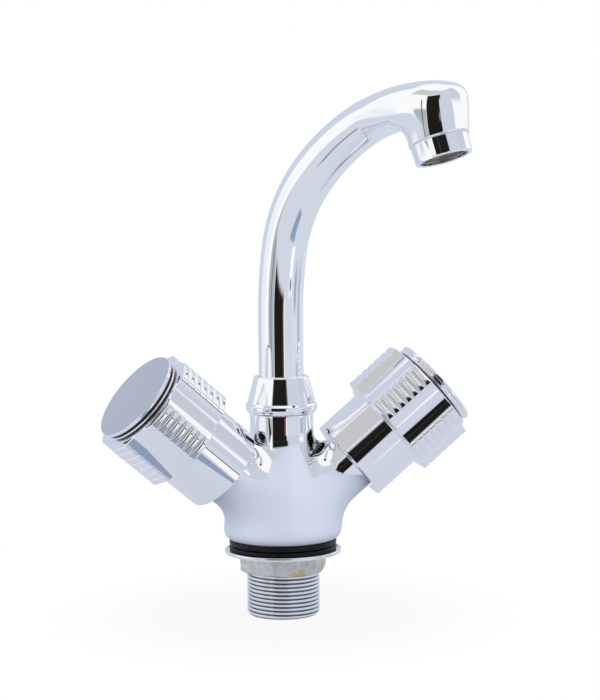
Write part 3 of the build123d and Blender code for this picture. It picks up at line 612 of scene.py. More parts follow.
# What the chrome reflects: patches of the studio by direction, as
# (azimuth low, azimuth high, elevation low, elevation high, softness, colour).
# Azimuth is counted from the camera towards the picture's right, and later patches cover earlier ones.
WHITE = (1.0, 1.0, 1.0)
TABLE_TONE = (0.66, 0.70, 0.78)
HORIZON = -9.0
STUDIO_PATCHES = (
    (-200.0, 200.0, -100.0, HORIZON, 1.0, TABLE_TONE),
    (-200.0, -113.0, -40.0, 60.0, 5.0, (0.62, 0.68, 0.78)),
    (-113.0, -84.0, -12.0, 6.0, 4.0, (0.86, 0.90, 0.95)),
    (145.0, 200.0, -40.0, 60.0, 5.0, (0.65, 0.71, 0.80)),
    (19.5, 66.0, -60.0, -3.0, 1.0, (0.66, 0.71, 0.80)),
    (17.0, 66.0, -3.0, 50.0, 1.0, (0.62, 0.66, 0.74)),
    (66.0, 108.0, 12.0, 50.0, 3.0, (0.60, 0.63, 0.70)),
    (66.0, 160.0, -12.0, 2.0, 4.0, (0.70, 0.76, 0.84)),
    (94.0, 114.0, -12.0, 3.0, 3.0, (0.45, 0.52, 0.60)),
    (70.0, 84.0, -14.0, -6.5, 2.0, (0.36, 0.42, 0.50)),
    (-66.0, -35.0, HORIZON, -3.0, 1.5, (0.42, 0.47, 0.50)),
    (-80.0, 17.0, 31.0, 58.0, 3.5, (0.60, 0.61, 0.61)),
    (-33.5, 22.0, 12.0, 28.0, 3.0, (0.012, 0.014, 0.013)),
    (-33.5, 13.5, HORIZON, 14.0, 1.0, (0.014, 0.012, 0.010)),
    (10.0, 17.5, -2.0, 14.0, 1.0, (0.010, 0.010, 0.008)),
    (10.5, 16.0, HORIZON, -2.0, 0.8, (0.24, 0.10, 0.075)),
    (-52.0, -48.5, HORIZON, 14.0, 0.7, (0.10, 0.12, 0.13)),
    (39.0, 56.0, -23.0, HORIZON - 0.5, 0.8, WHITE),
    (43.0, 51.0, -12.6, -10.4, 0.6, (0.12, 0.16, 0.19)),
    (15.0, 42.0, -46.0, -25.5, 1.5, (0.28, 0.36, 0.48)),
    (-146.0, -128.0, -60.0, -49.0, 2.0, (0.10, 0.12, 0.13)),
    (-70.0, -40.0, -44.0, -38.0, 2.0, (0.22, 0.28, 0.32)),
)


def build_world():
    world = bpy.data.worlds.new("studio")
    bpy.context.scene.world = world
    world.use_nodes = True
    nodes = world.node_tree.nodes
    links = world.node_tree.links
    nodes.clear()
    place = nodes.new("ShaderNodeTexCoord")
    x, y, z = split_xyz(nodes, links, place.outputs["Generated"])
    azimuth = azimuth_degrees(nodes, links, x, y)
    azimuth = math_node(nodes, links, "SUBTRACT", azimuth, CAMERA_AZIMUTH)
    azimuth = math_node(nodes, links, "WRAP", azimuth, 180.0, -180.0)
    rise = math_node(nodes, links, "ARCSINE", z)
    elevation = math_node(nodes, links, "MULTIPLY", rise, DEGREES_PER_RADIAN)
    colour = WHITE
    for az_low, az_high, el_low, el_high, soft, patch in STUDIO_PATCHES:
        across = between(nodes, links, azimuth, az_low, az_high, soft)
        up = between(nodes, links, elevation, el_low, el_high, soft)
        share = math_node(nodes, links, "MULTIPLY", across, up)
        colour = mix_colour(nodes, links, share, colour, patch)
    path = nodes.new("ShaderNodeLightPath")
    colour = mix_colour(nodes, links, path.outputs["Is Camera Ray"], colour, WHITE)
    background = nodes.new("ShaderNodeBackground")
    links.new(colour, background.inputs["Color"])
    background.inputs["Strength"].default_value = 1.0
    out = nodes.new("ShaderNodeOutputWorld")
    links.new(background.outputs[0], out.inputs["Surface"])


def new_material(name):
    material = bpy.data.materials.new(name)
    material.use_nodes = True
    nodes = material.node_tree.nodes
    links = material.node_tree.links
    return material, nodes, links, nodes["Principled BSDF"]


def object_coordinates(nodes):
    return nodes.new("ShaderNodeTexCoord").outputs["Object"]


def noise(nodes, links, scale, detail=3.0, vector=None):
    node = nodes.new("ShaderNodeTexNoise")
    node.inputs["Scale"].default_value = scale
    node.inputs["Detail"].default_value = detail
    links.new(vector or object_coordinates(nodes), node.inputs["Vector"])
    return node.outputs["Fac"]


def bump(nodes, links, height, strength, distance, shader):
    node = nodes.new("ShaderNodeBump")
    node.inputs["Strength"].default_value = strength
    node.inputs["Distance"].default_value = distance
    links.new(height, node.inputs["Height"])
    links.new(node.outputs["Normal"], shader.inputs["Normal"])


def colour_between(nodes, links, share, a, b, shader):
    links.new(mix_colour(nodes, links, share, a, b), shader.inputs["Base Color"])


def socket_between(nodes, links, share, low, high, shader, socket="Roughness"):
    links.new(map_range(nodes, links, share, target=(low, high)), shader.inputs[socket])


def chrome(name, tint, rough_low, rough_high):
    """Plating whose tint and polish vary faintly over the surface."""
    material, nodes, links, shader = new_material(name)
    shader.inputs["Metallic"].default_value = 1.0
    haze = noise(nodes, links, 60.0)
    colour_between(nodes, links, haze, tint, tuple(min(1.0, c * 1.03) for c in tint), shader)
    socket_between(nodes, links, noise(nodes, links, 35.0), rough_low, rough_high, shader)
    return material


def body_chrome():
    """Bright chrome above, and below the arms a painted reflection of the pale table: a paler, rougher
    lavender tone in place of the mirror's own reflection.
    """
    material, nodes, links, shader = new_material("body_chrome")
    coordinates = object_coordinates(nodes)
    x, y, z = split_xyz(nodes, links, coordinates)
    wave = noise(nodes, links, 70.0, 1.0, coordinates)
    azimuth = azimuth_degrees(nodes, links, x, y)
    front = between(nodes, links, azimuth, PAINTED_REFLECTION_FRONT_FROM, PAINTED_REFLECTION_FRONT_TO, PAINTED_REFLECTION_FRONT_SOFT)
    height = math_node(nodes, links, "MULTIPLY_ADD", wave, PAINTED_REFLECTION_WAVE * MM, PAINTED_REFLECTION_TOP_Z * MM)
    raised = math_node(nodes, links, "MULTIPLY", front, PAINTED_REFLECTION_FRONT_RISE * MM)
    height = math_node(nodes, links, "ADD", height, raised)
    above = math_node(nodes, links, "SUBTRACT", z, height)
    painted_reflection = map_range(nodes, links, above, (PAINTED_REFLECTION_EDGE * MM, -PAINTED_REFLECTION_EDGE * MM), smooth=True)
    # The lower zone's pale lavender colour, lower metallic and higher roughness are a painted reflection of
    # the table, in place of the mirror chrome's own reflection
    colour_between(nodes, links, painted_reflection, (0.92, 0.94, 0.96), (0.75, 0.80, 0.90), shader)
    socket_between(nodes, links, painted_reflection, 1.0, 0.4, shader, "Metallic")
    socket_between(nodes, links, painted_reflection, 0.03, 0.55, shader)
    socket_between(nodes, links, painted_reflection, 0.5, 0.15, shader, "Specular IOR Level")
    return material


def rubber():
    material, nodes, links, shader = new_material("black_rubber")
    cloud = noise(nodes, links, 260.0)
    colour_between(nodes, links, cloud, (0.002, 0.002, 0.002), (0.006, 0.006, 0.006), shader)
    socket_between(nodes, links, cloud, 0.32, 0.5, shader)
    shader.inputs["Specular IOR Level"].default_value = 0.22
    bump(nodes, links, noise(nodes, links, 900.0), 0.15, 0.0002, shader)
    return material


def cast_nut():
    """Rough forged nut, thinly plated, with brass showing through in patches."""
    material, nodes, links, shader = new_material("forged_nut")
    shader.inputs["Metallic"].default_value = 0.85
    x = split_xyz(nodes, links, object_coordinates(nodes))[0]
    right = math_node(nodes, links, "MULTIPLY", x, NUT_BRASS_LEAN)
    worn = math_node(nodes, links, "ADD", noise(nodes, links, 95.0, 6.0), right)
    worn = map_range(nodes, links, worn, NUT_BRASS_EDGE)
    grey = mix_colour(nodes, links, noise(nodes, links, 400.0, 8.0), (0.42, 0.42, 0.43), (0.86, 0.85, 0.83))
    brass = mix_colour(nodes, links, noise(nodes, links, 300.0, 6.0), (0.42, 0.30, 0.10), (0.80, 0.66, 0.36))
    colour_between(nodes, links, worn, grey, brass, shader)
    socket_between(nodes, links, noise(nodes, links, 500.0), 0.3, 0.6, shader)
    bump(nodes, links, noise(nodes, links, 700.0, 8.0), 0.7, 0.0006, shader)
    return material


def plated_thread():
    """Bright crests over grey roots."""
    material, nodes, links, shader = new_material("plated_thread")
    shader.inputs["Metallic"].default_value = 1.0
    coordinates = object_coordinates(nodes)
    radius = axis_distance(nodes, links, coordinates)
    low = (SHANK_R - THREAD_ROOT_SHARE * THREAD_DEPTH) * MM
    high = (SHANK_R - THREAD_CREST_SHARE * THREAD_DEPTH) * MM
    crest = map_range(nodes, links, radius, (low, high))
    cloud = noise(nodes, links, 220.0, 5.0, coordinates)
    bright = mix_colour(nodes, links, cloud, (0.80, 0.82, 0.87), (0.95, 0.96, 0.98))
    colour_between(nodes, links, crest, (0.26, 0.28, 0.30), bright, shader)
    socket_between(nodes, links, noise(nodes, links, 500.0, 4.0), 0.08, 0.2, shader)
    bump(nodes, links, noise(nodes, links, 1500.0, 4.0), 0.2, 0.0002, shader)
    return material


def washer_steel():
    material, nodes, links, shader = new_material("washer_steel")
    shader.inputs["Metallic"].default_value = 1.0
    cloud = noise(nodes, links, 150.0, 4.0)
    colour_between(nodes, links, cloud, (0.80, 0.80, 0.82), (0.94, 0.93, 0.92), shader)
    socket_between(nodes, links, cloud, 0.12, 0.28, shader)
    return material


def moulded(name, colour_a, colour_b, rough):
    material, nodes, links, shader = new_material(name)
    cloud = noise(nodes, links, 300.0, 4.0)
    colour_between(nodes, links, cloud, colour_a, colour_b, shader)
    socket_between(nodes, links, cloud, rough, rough + 0.1, shader)
    return material


def plain_metal(name, colour_a, colour_b, low, high):
    material, nodes, links, shader = new_material(name)
    shader.inputs["Metallic"].default_value = 1.0
    colour_between(nodes, links, noise(nodes, links, 180.0, 4.0), colour_a, colour_b, shader)
    socket_between(nodes, links, noise(nodes, links, 700.0), low, high, shader)
    return material


def spout_frame():
    """Unit vectors of the spout's plane: out from the column, and across it."""
    swing = math.radians(SPOUT_SWING)
    out_dir = np.array([math.sin(swing), -math.cos(swing), 0.0])
    across_dir = np.array([math.cos(swing), math.sin(swing), 0.0])
    return out_dir, across_dir


def tube_contours():
    """Stations along the tube, as (distance, height, lean, half thickness, half width)."""
    u, z, lean, thick, wide = 0.0, TUBE_STRAIGHT_Z, 0.0, TUBE_R, TUBE_R
    heights = np.arange(TUBE_FOOT_Z + 0.3, TUBE_STRAIGHT_Z, TUBE_STEP)
    stations = [(u, h, lean, thick, wide) for h in heights]
    for radius, end, end_thick, end_wide in TUBE_BENDS:
        steps = int(radius * math.radians(end - lean) / TUBE_STEP)
        for k in range(1, steps + 1):
            share = k / steps
            at = lean + share * (end - lean)
            du = radius * (math.cos(math.radians(lean)) - math.cos(math.radians(at)))
            dz = radius * (math.sin(math.radians(at)) - math.sin(math.radians(lean)))
            thick_here = thick + share * (end_thick - thick)
            wide_here = wide + share * (end_wide - wide)
            stations.append((u + du, z + dz, at, thick_here, wide_here))
        u, z, lean, thick, wide = stations[-1]
    return stations


def curve_through(points, count):
    """Points spread evenly along a smooth curve through a few given ones."""
    points = np.asarray(points, float)
    length = np.concatenate([[0.0], np.cumsum(np.linalg.norm(np.diff(points, axis=0), axis=1))])
    n = len(points)
    tangents = np.zeros_like(points)
    for i in range(n):
        a, b = max(i - 1, 0), min(i + 1, n - 1)
        tangents[i] = (points[b] - points[a]) / (length[b] - length[a])
    out = []
    for s in np.linspace(0.0, length[-1], count):
        i = int(np.clip(np.searchsorted(length, s) - 1, 0, n - 2))
        h = length[i + 1] - length[i]
        t = (s - length[i]) / h
        out.append(
            points[i] * (1 + 2 * t) * (1 - t) ** 2 + tangents[i] * h * t * (1 - t) ** 2
            + points[i + 1] * t * t * (3 - 2 * t) + tangents[i + 1] * h * t * t * (t - 1))
    return np.array(out)


def soften(values, rounds):
    """Even out a row of values, with its ends held."""
    values = np.array(values, float)
    for _ in range(rounds):
        values[1:-1] = 0.25 * values[:-2] + 0.5 * values[1:-1] + 0.25 * values[2:]
    return values


def hood_curve(outline, points, end):
    """One outline of the hood, from the last points of the tube's to the nose's rim."""
    return curve_through([outline[-HOOD_OVERLAP], outline[-1], *points, end], HOOD_STATIONS)


def swan_neck_piece():
    """The cast spout: rings of points from the spigot, along the bends and over the outlet hood."""
    out_dir, across_dir = spout_frame()
    stations = np.array(tube_contours())
    centre = stations[:, :2]
    leans = np.radians(stations[:, 2])
    thick = stations[:, 3]
    wide = stations[:, 4]
    normal = np.stack([-np.cos(leans), np.sin(leans)], axis=1)
    top = centre + thick[:, None] * normal
    under = centre - thick[:, None] * normal
    tilt = math.radians(NOSE_TILT)
    rim = np.array(NOSE_CENTRE)
    rim_out = NOSE_RIM_R * np.array([math.cos(tilt), math.sin(tilt)])
    hood_top = hood_curve(top, HOOD_TOP, rim + rim_out)
    hood_under = hood_curve(under, HOOD_UNDER, rim - rim_out)
    hood_wide = curve_through(HOOD_HALF_WIDTHS, HOOD_STATIONS)[:, 1]
    along = np.clip(np.linspace(0.0, 1.0, HOOD_STATIONS) / HOOD_SQUARE_END, 0.0, 1.0)
    square = 2.0 + (HOOD_SQUARE - 2.0) * np.sin(math.pi * along) ** 2
    square = np.concatenate([np.full(len(top) - HOOD_OVERLAP, 2.0), square])
    top = np.concatenate([top[:-HOOD_OVERLAP], hood_top])
    under = np.concatenate([under[:-HOOD_OVERLAP], hood_under])
    wide = np.concatenate([wide[:-HOOD_OVERLAP], hood_wide])
    for side in (top, under):
        for axis in (0, 1):
            side[:, axis] = soften(side[:, axis], OUTLINE_SOFTENING)
    wide = soften(wide, WIDTH_SOFTENING)
    angles = ring_angles(SPOUT_SEGMENTS)
    rows = []
    for a, b, w, n in zip(under, top, wide, square):
        middle = (a + b) / 2
        half = (b - a) / 2
        reach = (np.abs(np.cos(angles)) ** n + np.abs(np.sin(angles)) ** n) ** (-1.0 / n)
        ring = middle + (reach * np.cos(angles))[:, None] * half
        point = ring[:, 0][:, None] * out_dir + (reach * np.sin(angles))[:, None] * w * across_dir
        point[:, 2] += ring[:, 1]
        rows.append(point)
    foot = []
    for r, z in SPIGOT_SECTION:
        ring = -r * np.cos(angles)[:, None] * out_dir + r * np.sin(angles)[:, None] * across_dir
        ring[:, 2] = z
        foot.append(ring)
    inner = []
    nose_up = np.array([-math.sin(tilt), math.cos(tilt)])
    for r, drop in NOSE_SOCKET:
        share = r / NOSE_RIM_R
        middle = rim + nose_up * drop
        ring = middle + np.cos(angles)[:, None] * (rim_out * share)
        point = ring[:, 0][:, None] * out_dir + np.sin(angles)[:, None] * r * across_dir
        point[:, 2] += ring[:, 1]
        inner.append(point)
    return grid_object("swan_neck_skin", foot + rows + inner, caps=True)


def knob_angles():
    """Angles round the knob, closer together at the lobes' edges."""
    pitch = 360.0 / LOBE_COUNT
    half = np.concatenate([np.linspace(*band) for band in LOBE_ANGLES])
    one = np.concatenate([-half[-2:0:-1], half])
    return np.radians(np.concatenate([k * pitch + one for k in range(LOBE_COUNT)]))


def lobe_radius(angles, drop):
    """Radius of one row of the grip: round crests with flat-bottomed grooves, hollow flutes between."""
    pitch = 2 * math.pi / LOBE_COUNT
    local = np.abs((angles + pitch / 2) % pitch - pitch / 2)
    centre = FLUTE_FLOOR_R + FLUTE_R
    aside = centre * np.sin(pitch / 2 - local)
    flute = centre * np.cos(pitch / 2 - local) - np.sqrt(np.maximum(FLUTE_R ** 2 - aside ** 2, 0.0))
    crest = np.minimum(np.full_like(local, LOBE_R), (LOBE_R - drop) / np.cos(local))
    return blend_min(crest, flute, FLUTE_BLEND)


def knob_rows(angles, turn):
    """Rings of the knob's outside from the skirt's mouth to the grip's end face."""
    pitch = (LOBE_END - LOBE_START) / RIB_COUNT
    at = list(np.linspace(SKIRT_START + 0.55, GRIP_START - 0.25, SKIRT_ROWS))
    at += [GRIP_START + step for step in GRIP_START_STEPS]
    at += [LOBE_START + step for step in LOBE_START_STEPS]
    at += list(np.arange(LOBE_START + 0.5, LOBE_END - 0.4, pitch / RIB_ROWS))
    at += [LOBE_END + step for step in LOBE_END_STEPS]
    at = np.array(at)
    base = SKIRT_R + (FLUTE_FLOOR_R - 0.1 - SKIRT_R) * smoothstep(GRIP_START - 0.1, GRIP_START + 0.35, at)
    inside = smoothstep(LOBE_START - 0.06, LOBE_START + 0.35, at)
    inside = inside * (1 - smoothstep(LOBE_END - 0.35, LOBE_END + 0.06, at))
    wave = np.abs(np.sin(np.pi * (at - LOBE_START) / pitch))
    drop = RIB_H - (RIB_H + RIB_TRIM) * wave
    rows = []
    for height, foot, share, depth in zip(at, base, inside, drop):
        raised = np.maximum(lobe_radius(angles - turn, depth), foot)
        radius = foot + (raised - foot) * share
        rows.append(circle_row(angles, radius, height))
    return rows


def knob_piece(name, side, turn):
    """One knob: skirt, ribbed lobes, open inside with its web and hub."""
    turn = math.radians(turn)
    angles = knob_angles() + turn
    rows = [circle_row(angles, r, z) for r, z in KNOB_INSIDE]
    rows += knob_rows(angles, turn)
    rows += [circle_row(angles, r, z) for r, z in KNOB_OUTER_END]
    return grid_object(name, rows, arm_matrix(side), wrap_rows=True)


def cap_piece(name, side):
    """The index cap, with its bright rim, its brushed face and the groove behind it, which takes painted
    shade on the hot knob.
    """
    inner = CAP_PLUG_R - CAP_PLUG_WALL
    outline = [
        (0.02, CAP_FLOOR), (0.3, CAP_FLOOR), (inner, CAP_FLOOR), (inner, CAP_PLUG_START),
        (CAP_PLUG_R, CAP_PLUG_START), (CAP_PLUG_R, TRIM_END), (CAP_NECK_R, TRIM_END),
        (CAP_NECK_R, CAP_RIM_START), (CAP_R, CAP_RIM_START), (CAP_R, CAP_END), (0.3, CAP_END),
        (0.02, CAP_END),
    ]

    def marks(r, z):
        # Material 2 is the groove behind the rim: painted shade on the hot knob and bright plating on the
        # cold one. Material 1 is the face
        if r < CAP_NECK_R + 0.2 and TRIM_END - 0.1 < z < CAP_RIM_START - 0.1:
            return 2
        return int(r < CAP_R - 0.3 and z > CAP_END - 0.2)

    return lathe(name, rounded(outline, CAP_ROUNDS), arm_matrix(side), marks=marks)


def trim_piece(name, side):
    """The trim ring, with painted shade, a near-black material, on the gap between it and the grip."""
    bore = CAP_PLUG_R + 0.05
    outline = [
        (bore, GRIP_END), (CAP_NECK_R, GRIP_END), (CAP_NECK_R, TRIM_START), (TRIM_R, TRIM_START),
        (TRIM_R, TRIM_END), (bore, TRIM_END),
    ]

    def marks(r, z):
        # Faces in the gap next to the grip take material 1, the painted shade
        return int(r < CAP_NECK_R + 0.2 and z < TRIM_START - 0.1)

    return lathe(name, rounded(outline, TRIM_ROUNDS), arm_matrix(side), marks=marks)


def collar_piece():
    """The tapered collar with its rolled rim."""
    return lathe("spout_collar_skin", rounded(COLLAR_SECTION, COLLAR_ROUNDS))


def sleeve_piece():
    """The shank with its helical thread cut as real grooves."""
    angles = ring_angles(SHANK_SEGMENTS)
    rows = []
    for z in np.arange(SHANK_END_Z + 0.02, FOOT_Z, THREAD_PITCH / THREAD_ROWS):
        phase = ((z + THREAD_PITCH * angles / (2 * math.pi)) / THREAD_PITCH) % 1.0
        wave = np.abs(2 * phase - 1.0)
        cut = THREAD_DEPTH * smoothstep(*THREAD_FLANK, wave)
        end = np.clip((z - SHANK_END_Z) / SHANK_CHAMFER_H, 0.0, 1.0)
        radius = np.minimum(SHANK_R - cut, SHANK_R - SHANK_CHAMFER + SHANK_CHAMFER * end)
        fade = smoothstep(*THREAD_FADE_Z, z)
        radius = radius + (SHANK_PLAIN_R - radius) * fade
        rows.append(circle_row(angles, radius, z))
    top = [(SLEEVE_TOP_R, FOOT_Z), (SLEEVE_TOP_R, SLEEVE_TOP_Z), (SHANK_BORE_R, SLEEVE_TOP_Z)]
    bore = [
        (SHANK_BORE_R, SHANK_END_Z + 0.3), (SHANK_BORE_R + 0.3, SHANK_END_Z), (SHANK_MOUTH_R, SHANK_END_Z),
    ]
    rows += [circle_row(angles, r, z) for r, z in top + bore]
    return grid_object("threaded_sleeve_skin", rows, wrap_rows=True)


def ripple(points, size, amount, seed):
    """Smooth pseudo-random offsets, built from a few seeded waves."""
    rng = np.random.default_rng(seed)
    total = np.zeros(len(points))
    for _ in range(RIPPLE_WAVES):
        direction = rng.normal(size=3)
        direction /= np.linalg.norm(direction)
        length = size * rng.uniform(0.6, 1.6)
        phase = rng.uniform(0, 6.28)
        total += np.sin(points @ direction * (2 * math.pi / length) + phase)
    return amount * total / math.sqrt(RIPPLE_WAVES)


def nut_piece():
    """The forged hexagonal backnut, worn round at its corners."""
    pitch = math.pi / 3
    share = np.linspace(-0.5, 0.5, NUT_SIDE_SEGMENTS, endpoint=False)
    angles = np.concatenate([k * pitch + pitch / 2 + share * pitch for k in range(6)])
    off = angles % pitch - pitch / 2
    flat = NUT_FLATS / 2 / np.cos(off)
    bottom = NUT_TOP_Z - NUT_HEIGHT
    rows = []
    for z in np.linspace(bottom + 0.05, NUT_TOP_Z - 0.05, NUT_ROWS):
        cone_top = min(NUT_TOP_FACE_R + (NUT_TOP_Z - z) * NUT_TOP_SLOPE, NUT_CONE_LIMIT_R)
        cone_bottom = min(NUT_BOTTOM_FACE_R + (z - bottom) * NUT_BOTTOM_SLOPE, NUT_CONE_LIMIT_R)
        radius = blend_min(flat, np.full_like(flat, NUT_CORNER_R), NUT_CORNER_BLEND)
        radius = blend_min(radius, np.full_like(flat, cone_top), NUT_FACE_BLEND)
        radius = blend_min(radius, np.full_like(flat, cone_bottom), NUT_FACE_BLEND)
        rows.append(circle_row(angles, radius, z))
    outer = np.array(rows)
    flat_points = outer.reshape(-1, 3)
    offset = sum(ripple(flat_points, *wave) for wave in NUT_RIPPLES)
    direction = flat_points * np.array([1.0, 1.0, 0.0])
    direction /= np.linalg.norm(direction, axis=1)[:, None]
    outer = (flat_points + direction * np.minimum(offset, NUT_RIPPLE_LIMIT)[:, None]).reshape(outer.shape)
    inner = [circle_row(angles, r, z) for r, z in (
        (NUT_INNER_EDGE_R, NUT_TOP_Z), (NUT_BORE_R + 0.05, NUT_TOP_Z), (NUT_BORE_R, NUT_TOP_Z - 0.3),
        (NUT_BORE_R, bottom + 0.4), (NUT_BORE_R + 0.35, bottom), (NUT_INNER_EDGE_R, bottom))]
    return grid_object("clamp_nut_skin", list(outer) + inner, wrap_rows=True)


def gasket_piece(name, z0):
    """A rubber gasket whose squeezed edge bulges a little."""
    edge = GASKET_R - GASKET_BULGE
    outline = [
        (GASKET_BORE_R, z0), (edge, z0), (GASKET_R, z0 + GASKET_T / 2), (edge, z0 + GASKET_T),
        (GASKET_BORE_R, z0 + GASKET_T),
    ]
    return lathe(name, rounded(outline, GASKET_ROUNDS))


def washer_piece():
    """The pressed washer, with its edge turned up round the gasket."""
    top = CLAMP_TOP_Z - GASKET_T
    low = top - WASHER_T
    lip = WASHER_R - WASHER_LIP_T
    outline = [
        (WASHER_BORE_R, low), (WASHER_R - 1.6, low), (WASHER_R, low + 0.55),
        (WASHER_R, top + WASHER_LIP_H), (lip, top + WASHER_LIP_H), (lip, top + 0.25), (lip - 0.6, top),
        (WASHER_BORE_R, top),
    ]
    return lathe("clamp_washer_skin", rounded(outline, WASHER_ROUNDS))


def nose_matrix():
    """From the outlet's own frame, with Z back up into the nose, to the tap's."""
    out_dir, across_dir = spout_frame()
    tilt = math.radians(NOSE_TILT)
    up = -math.sin(tilt) * Vector(out_dir) + Vector((0, 0, math.cos(tilt)))
    across = Vector(across_dir)
    third = up.cross(across)
    matrix = Matrix((across, third, up)).transposed().to_4x4()
    matrix.translation = NOSE_CENTRE[0] * Vector(out_dir) + Vector((0, 0, NOSE_CENTRE[1]))
    return matrix


def aerator_piece():
    """The outlet sleeve, with two spanner flats at its lower edge."""
    angles = ring_angles(LATHE_SEGMENTS)
    rows = []
    for r, z in rounded(AERATOR_SECTION, AERATOR_ROUNDS):
        ring = np.full_like(angles, r)
        if r > AERATOR_SKIRT_R and z < AERATOR_FLAT_TOP:
            for turn in AERATOR_FLAT_TURNS:
                off = (angles - math.radians(turn) + math.pi) % (2 * math.pi) - math.pi
                flat = (AERATOR_BOTTOM_R - AERATOR_FLAT_DEPTH) / np.cos(off)
                ring = np.where(np.abs(off) < AERATOR_FLAT_HALF_TURN, np.minimum(ring, flat), ring)
        rows.append(circle_row(angles, ring, z))
    return grid_object("aerator_housing_skin", rows, nose_matrix(), wrap_rows=True)


def build_camera():
    azimuth = math.radians(CAMERA_AZIMUTH)
    yaw = math.radians(CAMERA_YAW)
    pitch = math.radians(CAMERA_PITCH)
    roll = math.radians(CAMERA_ROLL)
    back = Vector((math.sin(azimuth), -math.cos(azimuth), 0.0))
    side = Vector((math.cos(azimuth), math.sin(azimuth), 0.0))
    level = -back * math.cos(yaw) + side * math.sin(yaw)
    right = side * math.cos(yaw) + back * math.sin(yaw)
    forward = level * math.cos(pitch) - Vector((0.0, 0.0, math.sin(pitch)))
    up = right.cross(forward)
    turned_right = right * math.cos(roll) + up * math.sin(roll)
    turned_up = up * math.cos(roll) - right * math.sin(roll)
    camera = bpy.data.cameras.new("camera")
    holder = bpy.data.objects.new("camera", camera)
    bpy.context.scene.collection.objects.link(holder)
    matrix = Matrix((turned_right, turned_up, -forward)).transposed().to_4x4()
    matrix.translation = (back * CAMERA_DISTANCE + Vector((0.0, 0.0, CAMERA_HEIGHT))) * MM
    holder.matrix_world = matrix
    camera.sensor_fit = "VERTICAL"
    camera.sensor_height = SENSOR_HEIGHT
    camera.lens = SENSOR_HEIGHT * FOCAL_PIXELS / PHOTO_HEIGHT_PIXELS
    camera.clip_start = CLIP_START * MM
    bpy.context.scene.camera = holder


def build_floor():
    """A small round floor under the shank, white to the camera, with the tap's shadow fading to its rim."""
    angles = ring_angles(FLOOR_SEGMENTS)
    rows = [circle_row(angles, r, SHANK_END_Z - FLOOR_GAP) for r in (FLOOR_R, 1.0)]
    floor = grid_object("floor", rows, caps=True)
    material, nodes, links, shader = new_material("floor_white")
    nodes.remove(shader)
    radius = axis_distance(nodes, links, object_coordinates(nodes))
    reach = (FLOOR_FADE_START * FLOOR_R * MM, FLOOR_FADE_END * FLOOR_R * MM)
    fade = map_range(nodes, links, radius, reach, (FLOOR_WHITE_NEAR, 1.0), smooth=True)
    diffuse = nodes.new("ShaderNodeBsdfDiffuse")
    diffuse.inputs["Color"].default_value = FLOOR_TONE
    glow = nodes.new("ShaderNodeEmission")
    path = nodes.new("ShaderNodeLightPath")
    tone = mix_colour(nodes, links, path.outputs["Is Glossy Ray"], WHITE, TABLE_TONE)
    links.new(tone, glow.inputs["Color"])
    mix = nodes.new("ShaderNodeMixShader")
    share = math_node(nodes, links, "ADD", path.outputs["Is Camera Ray"], path.outputs["Is Glossy Ray"])
    share = math_node(nodes, links, "ADD", share, path.outputs["Is Transmission Ray"], clamp=True)
    links.new(math_node(nodes, links, "MULTIPLY", share, fade), mix.inputs[0])
    links.new(diffuse.outputs[0], mix.inputs[1])
    links.new(glow.outputs[0], mix.inputs[2])
    links.new(mix.outputs[0], nodes["Material Output"].inputs["Surface"])
    floor.data.materials.append(material)


def build_lamps():
    """Large soft lamps in front of the tap and beside it that fill the matt surfaces."""
    for number, turn in enumerate(LAMP_TURNS):
        lamp = bpy.data.lights.new("fill_%d" % number, "AREA")
        lamp.shape = "DISK"
        lamp.size = LAMP_SIZE
        lamp.energy = LAMP_POWER
        holder = bpy.data.objects.new("fill_%d" % number, lamp)
        bpy.context.scene.collection.objects.link(holder)
        azimuth = math.radians(CAMERA_AZIMUTH + turn)
        back = Vector((math.sin(azimuth), -math.cos(azimuth), LAMP_RISE)).normalized()
        facing = back.to_track_quat("Z", "Y").to_matrix().to_4x4()
        holder.matrix_world = Matrix.Translation(back * LAMP_DISTANCE) @ facing
        holder.visible_glossy = False


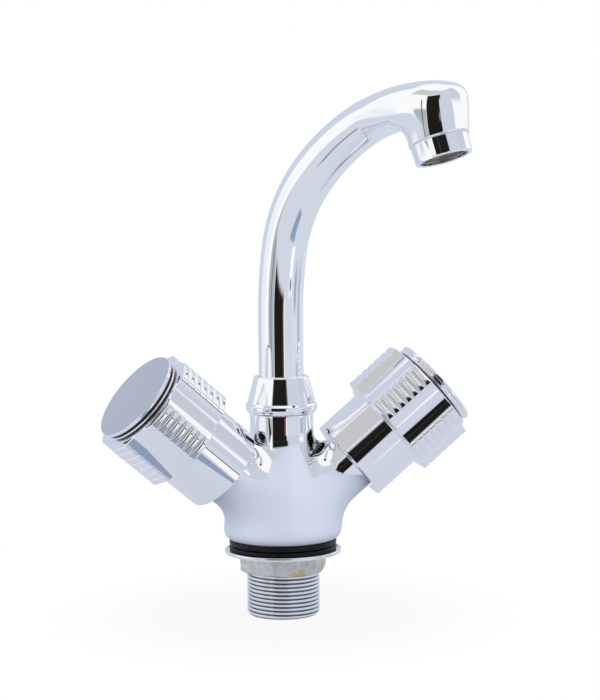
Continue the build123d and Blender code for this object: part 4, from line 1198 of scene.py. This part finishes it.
def main():
    build_world()
    build_camera()
    build_floor()
    build_lamps()
    bpy.context.scene.view_settings.view_transform = "Standard"

    mirror = chrome("mirror_chrome", (0.93, 0.94, 0.96), 0.02, 0.05)
    plated = chrome("plated_plastic", (0.90, 0.90, 0.94), 0.02, 0.06)
    cap_finish = chrome("brushed_cap", (0.63, 0.63, 0.69), 0.22, 0.30)
    # Painted shade: a near-black material laid on the narrow gaps by the trim rings and caps, in place of
    # the shade that falls there
    gap_painted_shade = moulded("shaded_gap", (0.010, 0.010, 0.011), (0.022, 0.021, 0.021), 0.4)
    black = rubber()
    brass = plain_metal("machined_brass", (0.66, 0.46, 0.18), (0.80, 0.60, 0.28), 0.2, 0.35)
    steel = plain_metal("bright_steel", (0.62, 0.62, 0.64), (0.80, 0.80, 0.82), 0.15, 0.3)
    insert = moulded("insert_plastic", (0.06, 0.045, 0.035), (0.34, 0.28, 0.22), 0.2)
    acetal = moulded("acetal", (0.75, 0.75, 0.72), (0.85, 0.85, 0.82), 0.4)

    body = net_surface("mixer_body_skin", body_field, BODY_LOW, BODY_HIGH, BODY_STEP)
    finish_piece(body, body_chrome(), "root", "mixer_body")
    finish_piece(collar_piece(), mirror, "root", "spout_collar")
    finish_piece(sleeve_piece(), plated_thread(), "root", "threaded_sleeve")
    upper = gasket_piece("base_gasket_skin", 0.0)
    finish_piece(upper, black, "root", "base_gasket")
    lower = gasket_piece("clamp_gasket_skin", CLAMP_TOP_Z - GASKET_T)
    finish_piece(lower, black, "clamp", "clamp_gasket")
    finish_piece(washer_piece(), washer_steel(), "clamp", "clamp_washer")
    finish_piece(nut_piece(), cast_nut(), "nut", "clamp_nut")
    finish_piece(swan_neck_piece(), mirror, "spout", "swan_neck")
    finish_piece(aerator_piece(), mirror, "spout", "aerator_housing")
    # Shaded and lit copies of one part: the hot cap's groove takes the painted shade, and the cold cap's
    # groove takes the bright plating
    sides = (("hot", -1, HOT_LOBE_TURN, gap_painted_shade), ("cold", 1, COLD_LOBE_TURN, plated))
    for name, side, turn, groove in sides:
        handle = name + "_handle"
        knob = knob_piece(name + "_knob_skin", side, turn)
        finish_piece(knob, plated, handle, name + "_knob")
        ring = trim_piece(name + "_trim_ring_skin", side)
        finish_piece(ring, (plated, gap_painted_shade), handle, name + "_trim_ring")
        cap = cap_piece(name + "_index_cap_skin", side)
        finish_piece(cap, (plated, cap_finish, groove), handle, name + "_index_cap")

    finishes = {
        "plain_brass": brass, "stainless_steel": steel, "black_rubber": black, "grey_plastic": insert,
        "white_acetal": acetal, "chromed_brass": mirror, "chromed_plastic": plated,
    }
    for part in frame["record"]["subparts"]:
        finish = finishes.get(part["material_slot"])
        node = frame["nodes"].get(part["node"])
        if finish is None or node is None:
            continue
        for socket in node.material_slots:
            socket.material = finish


main()
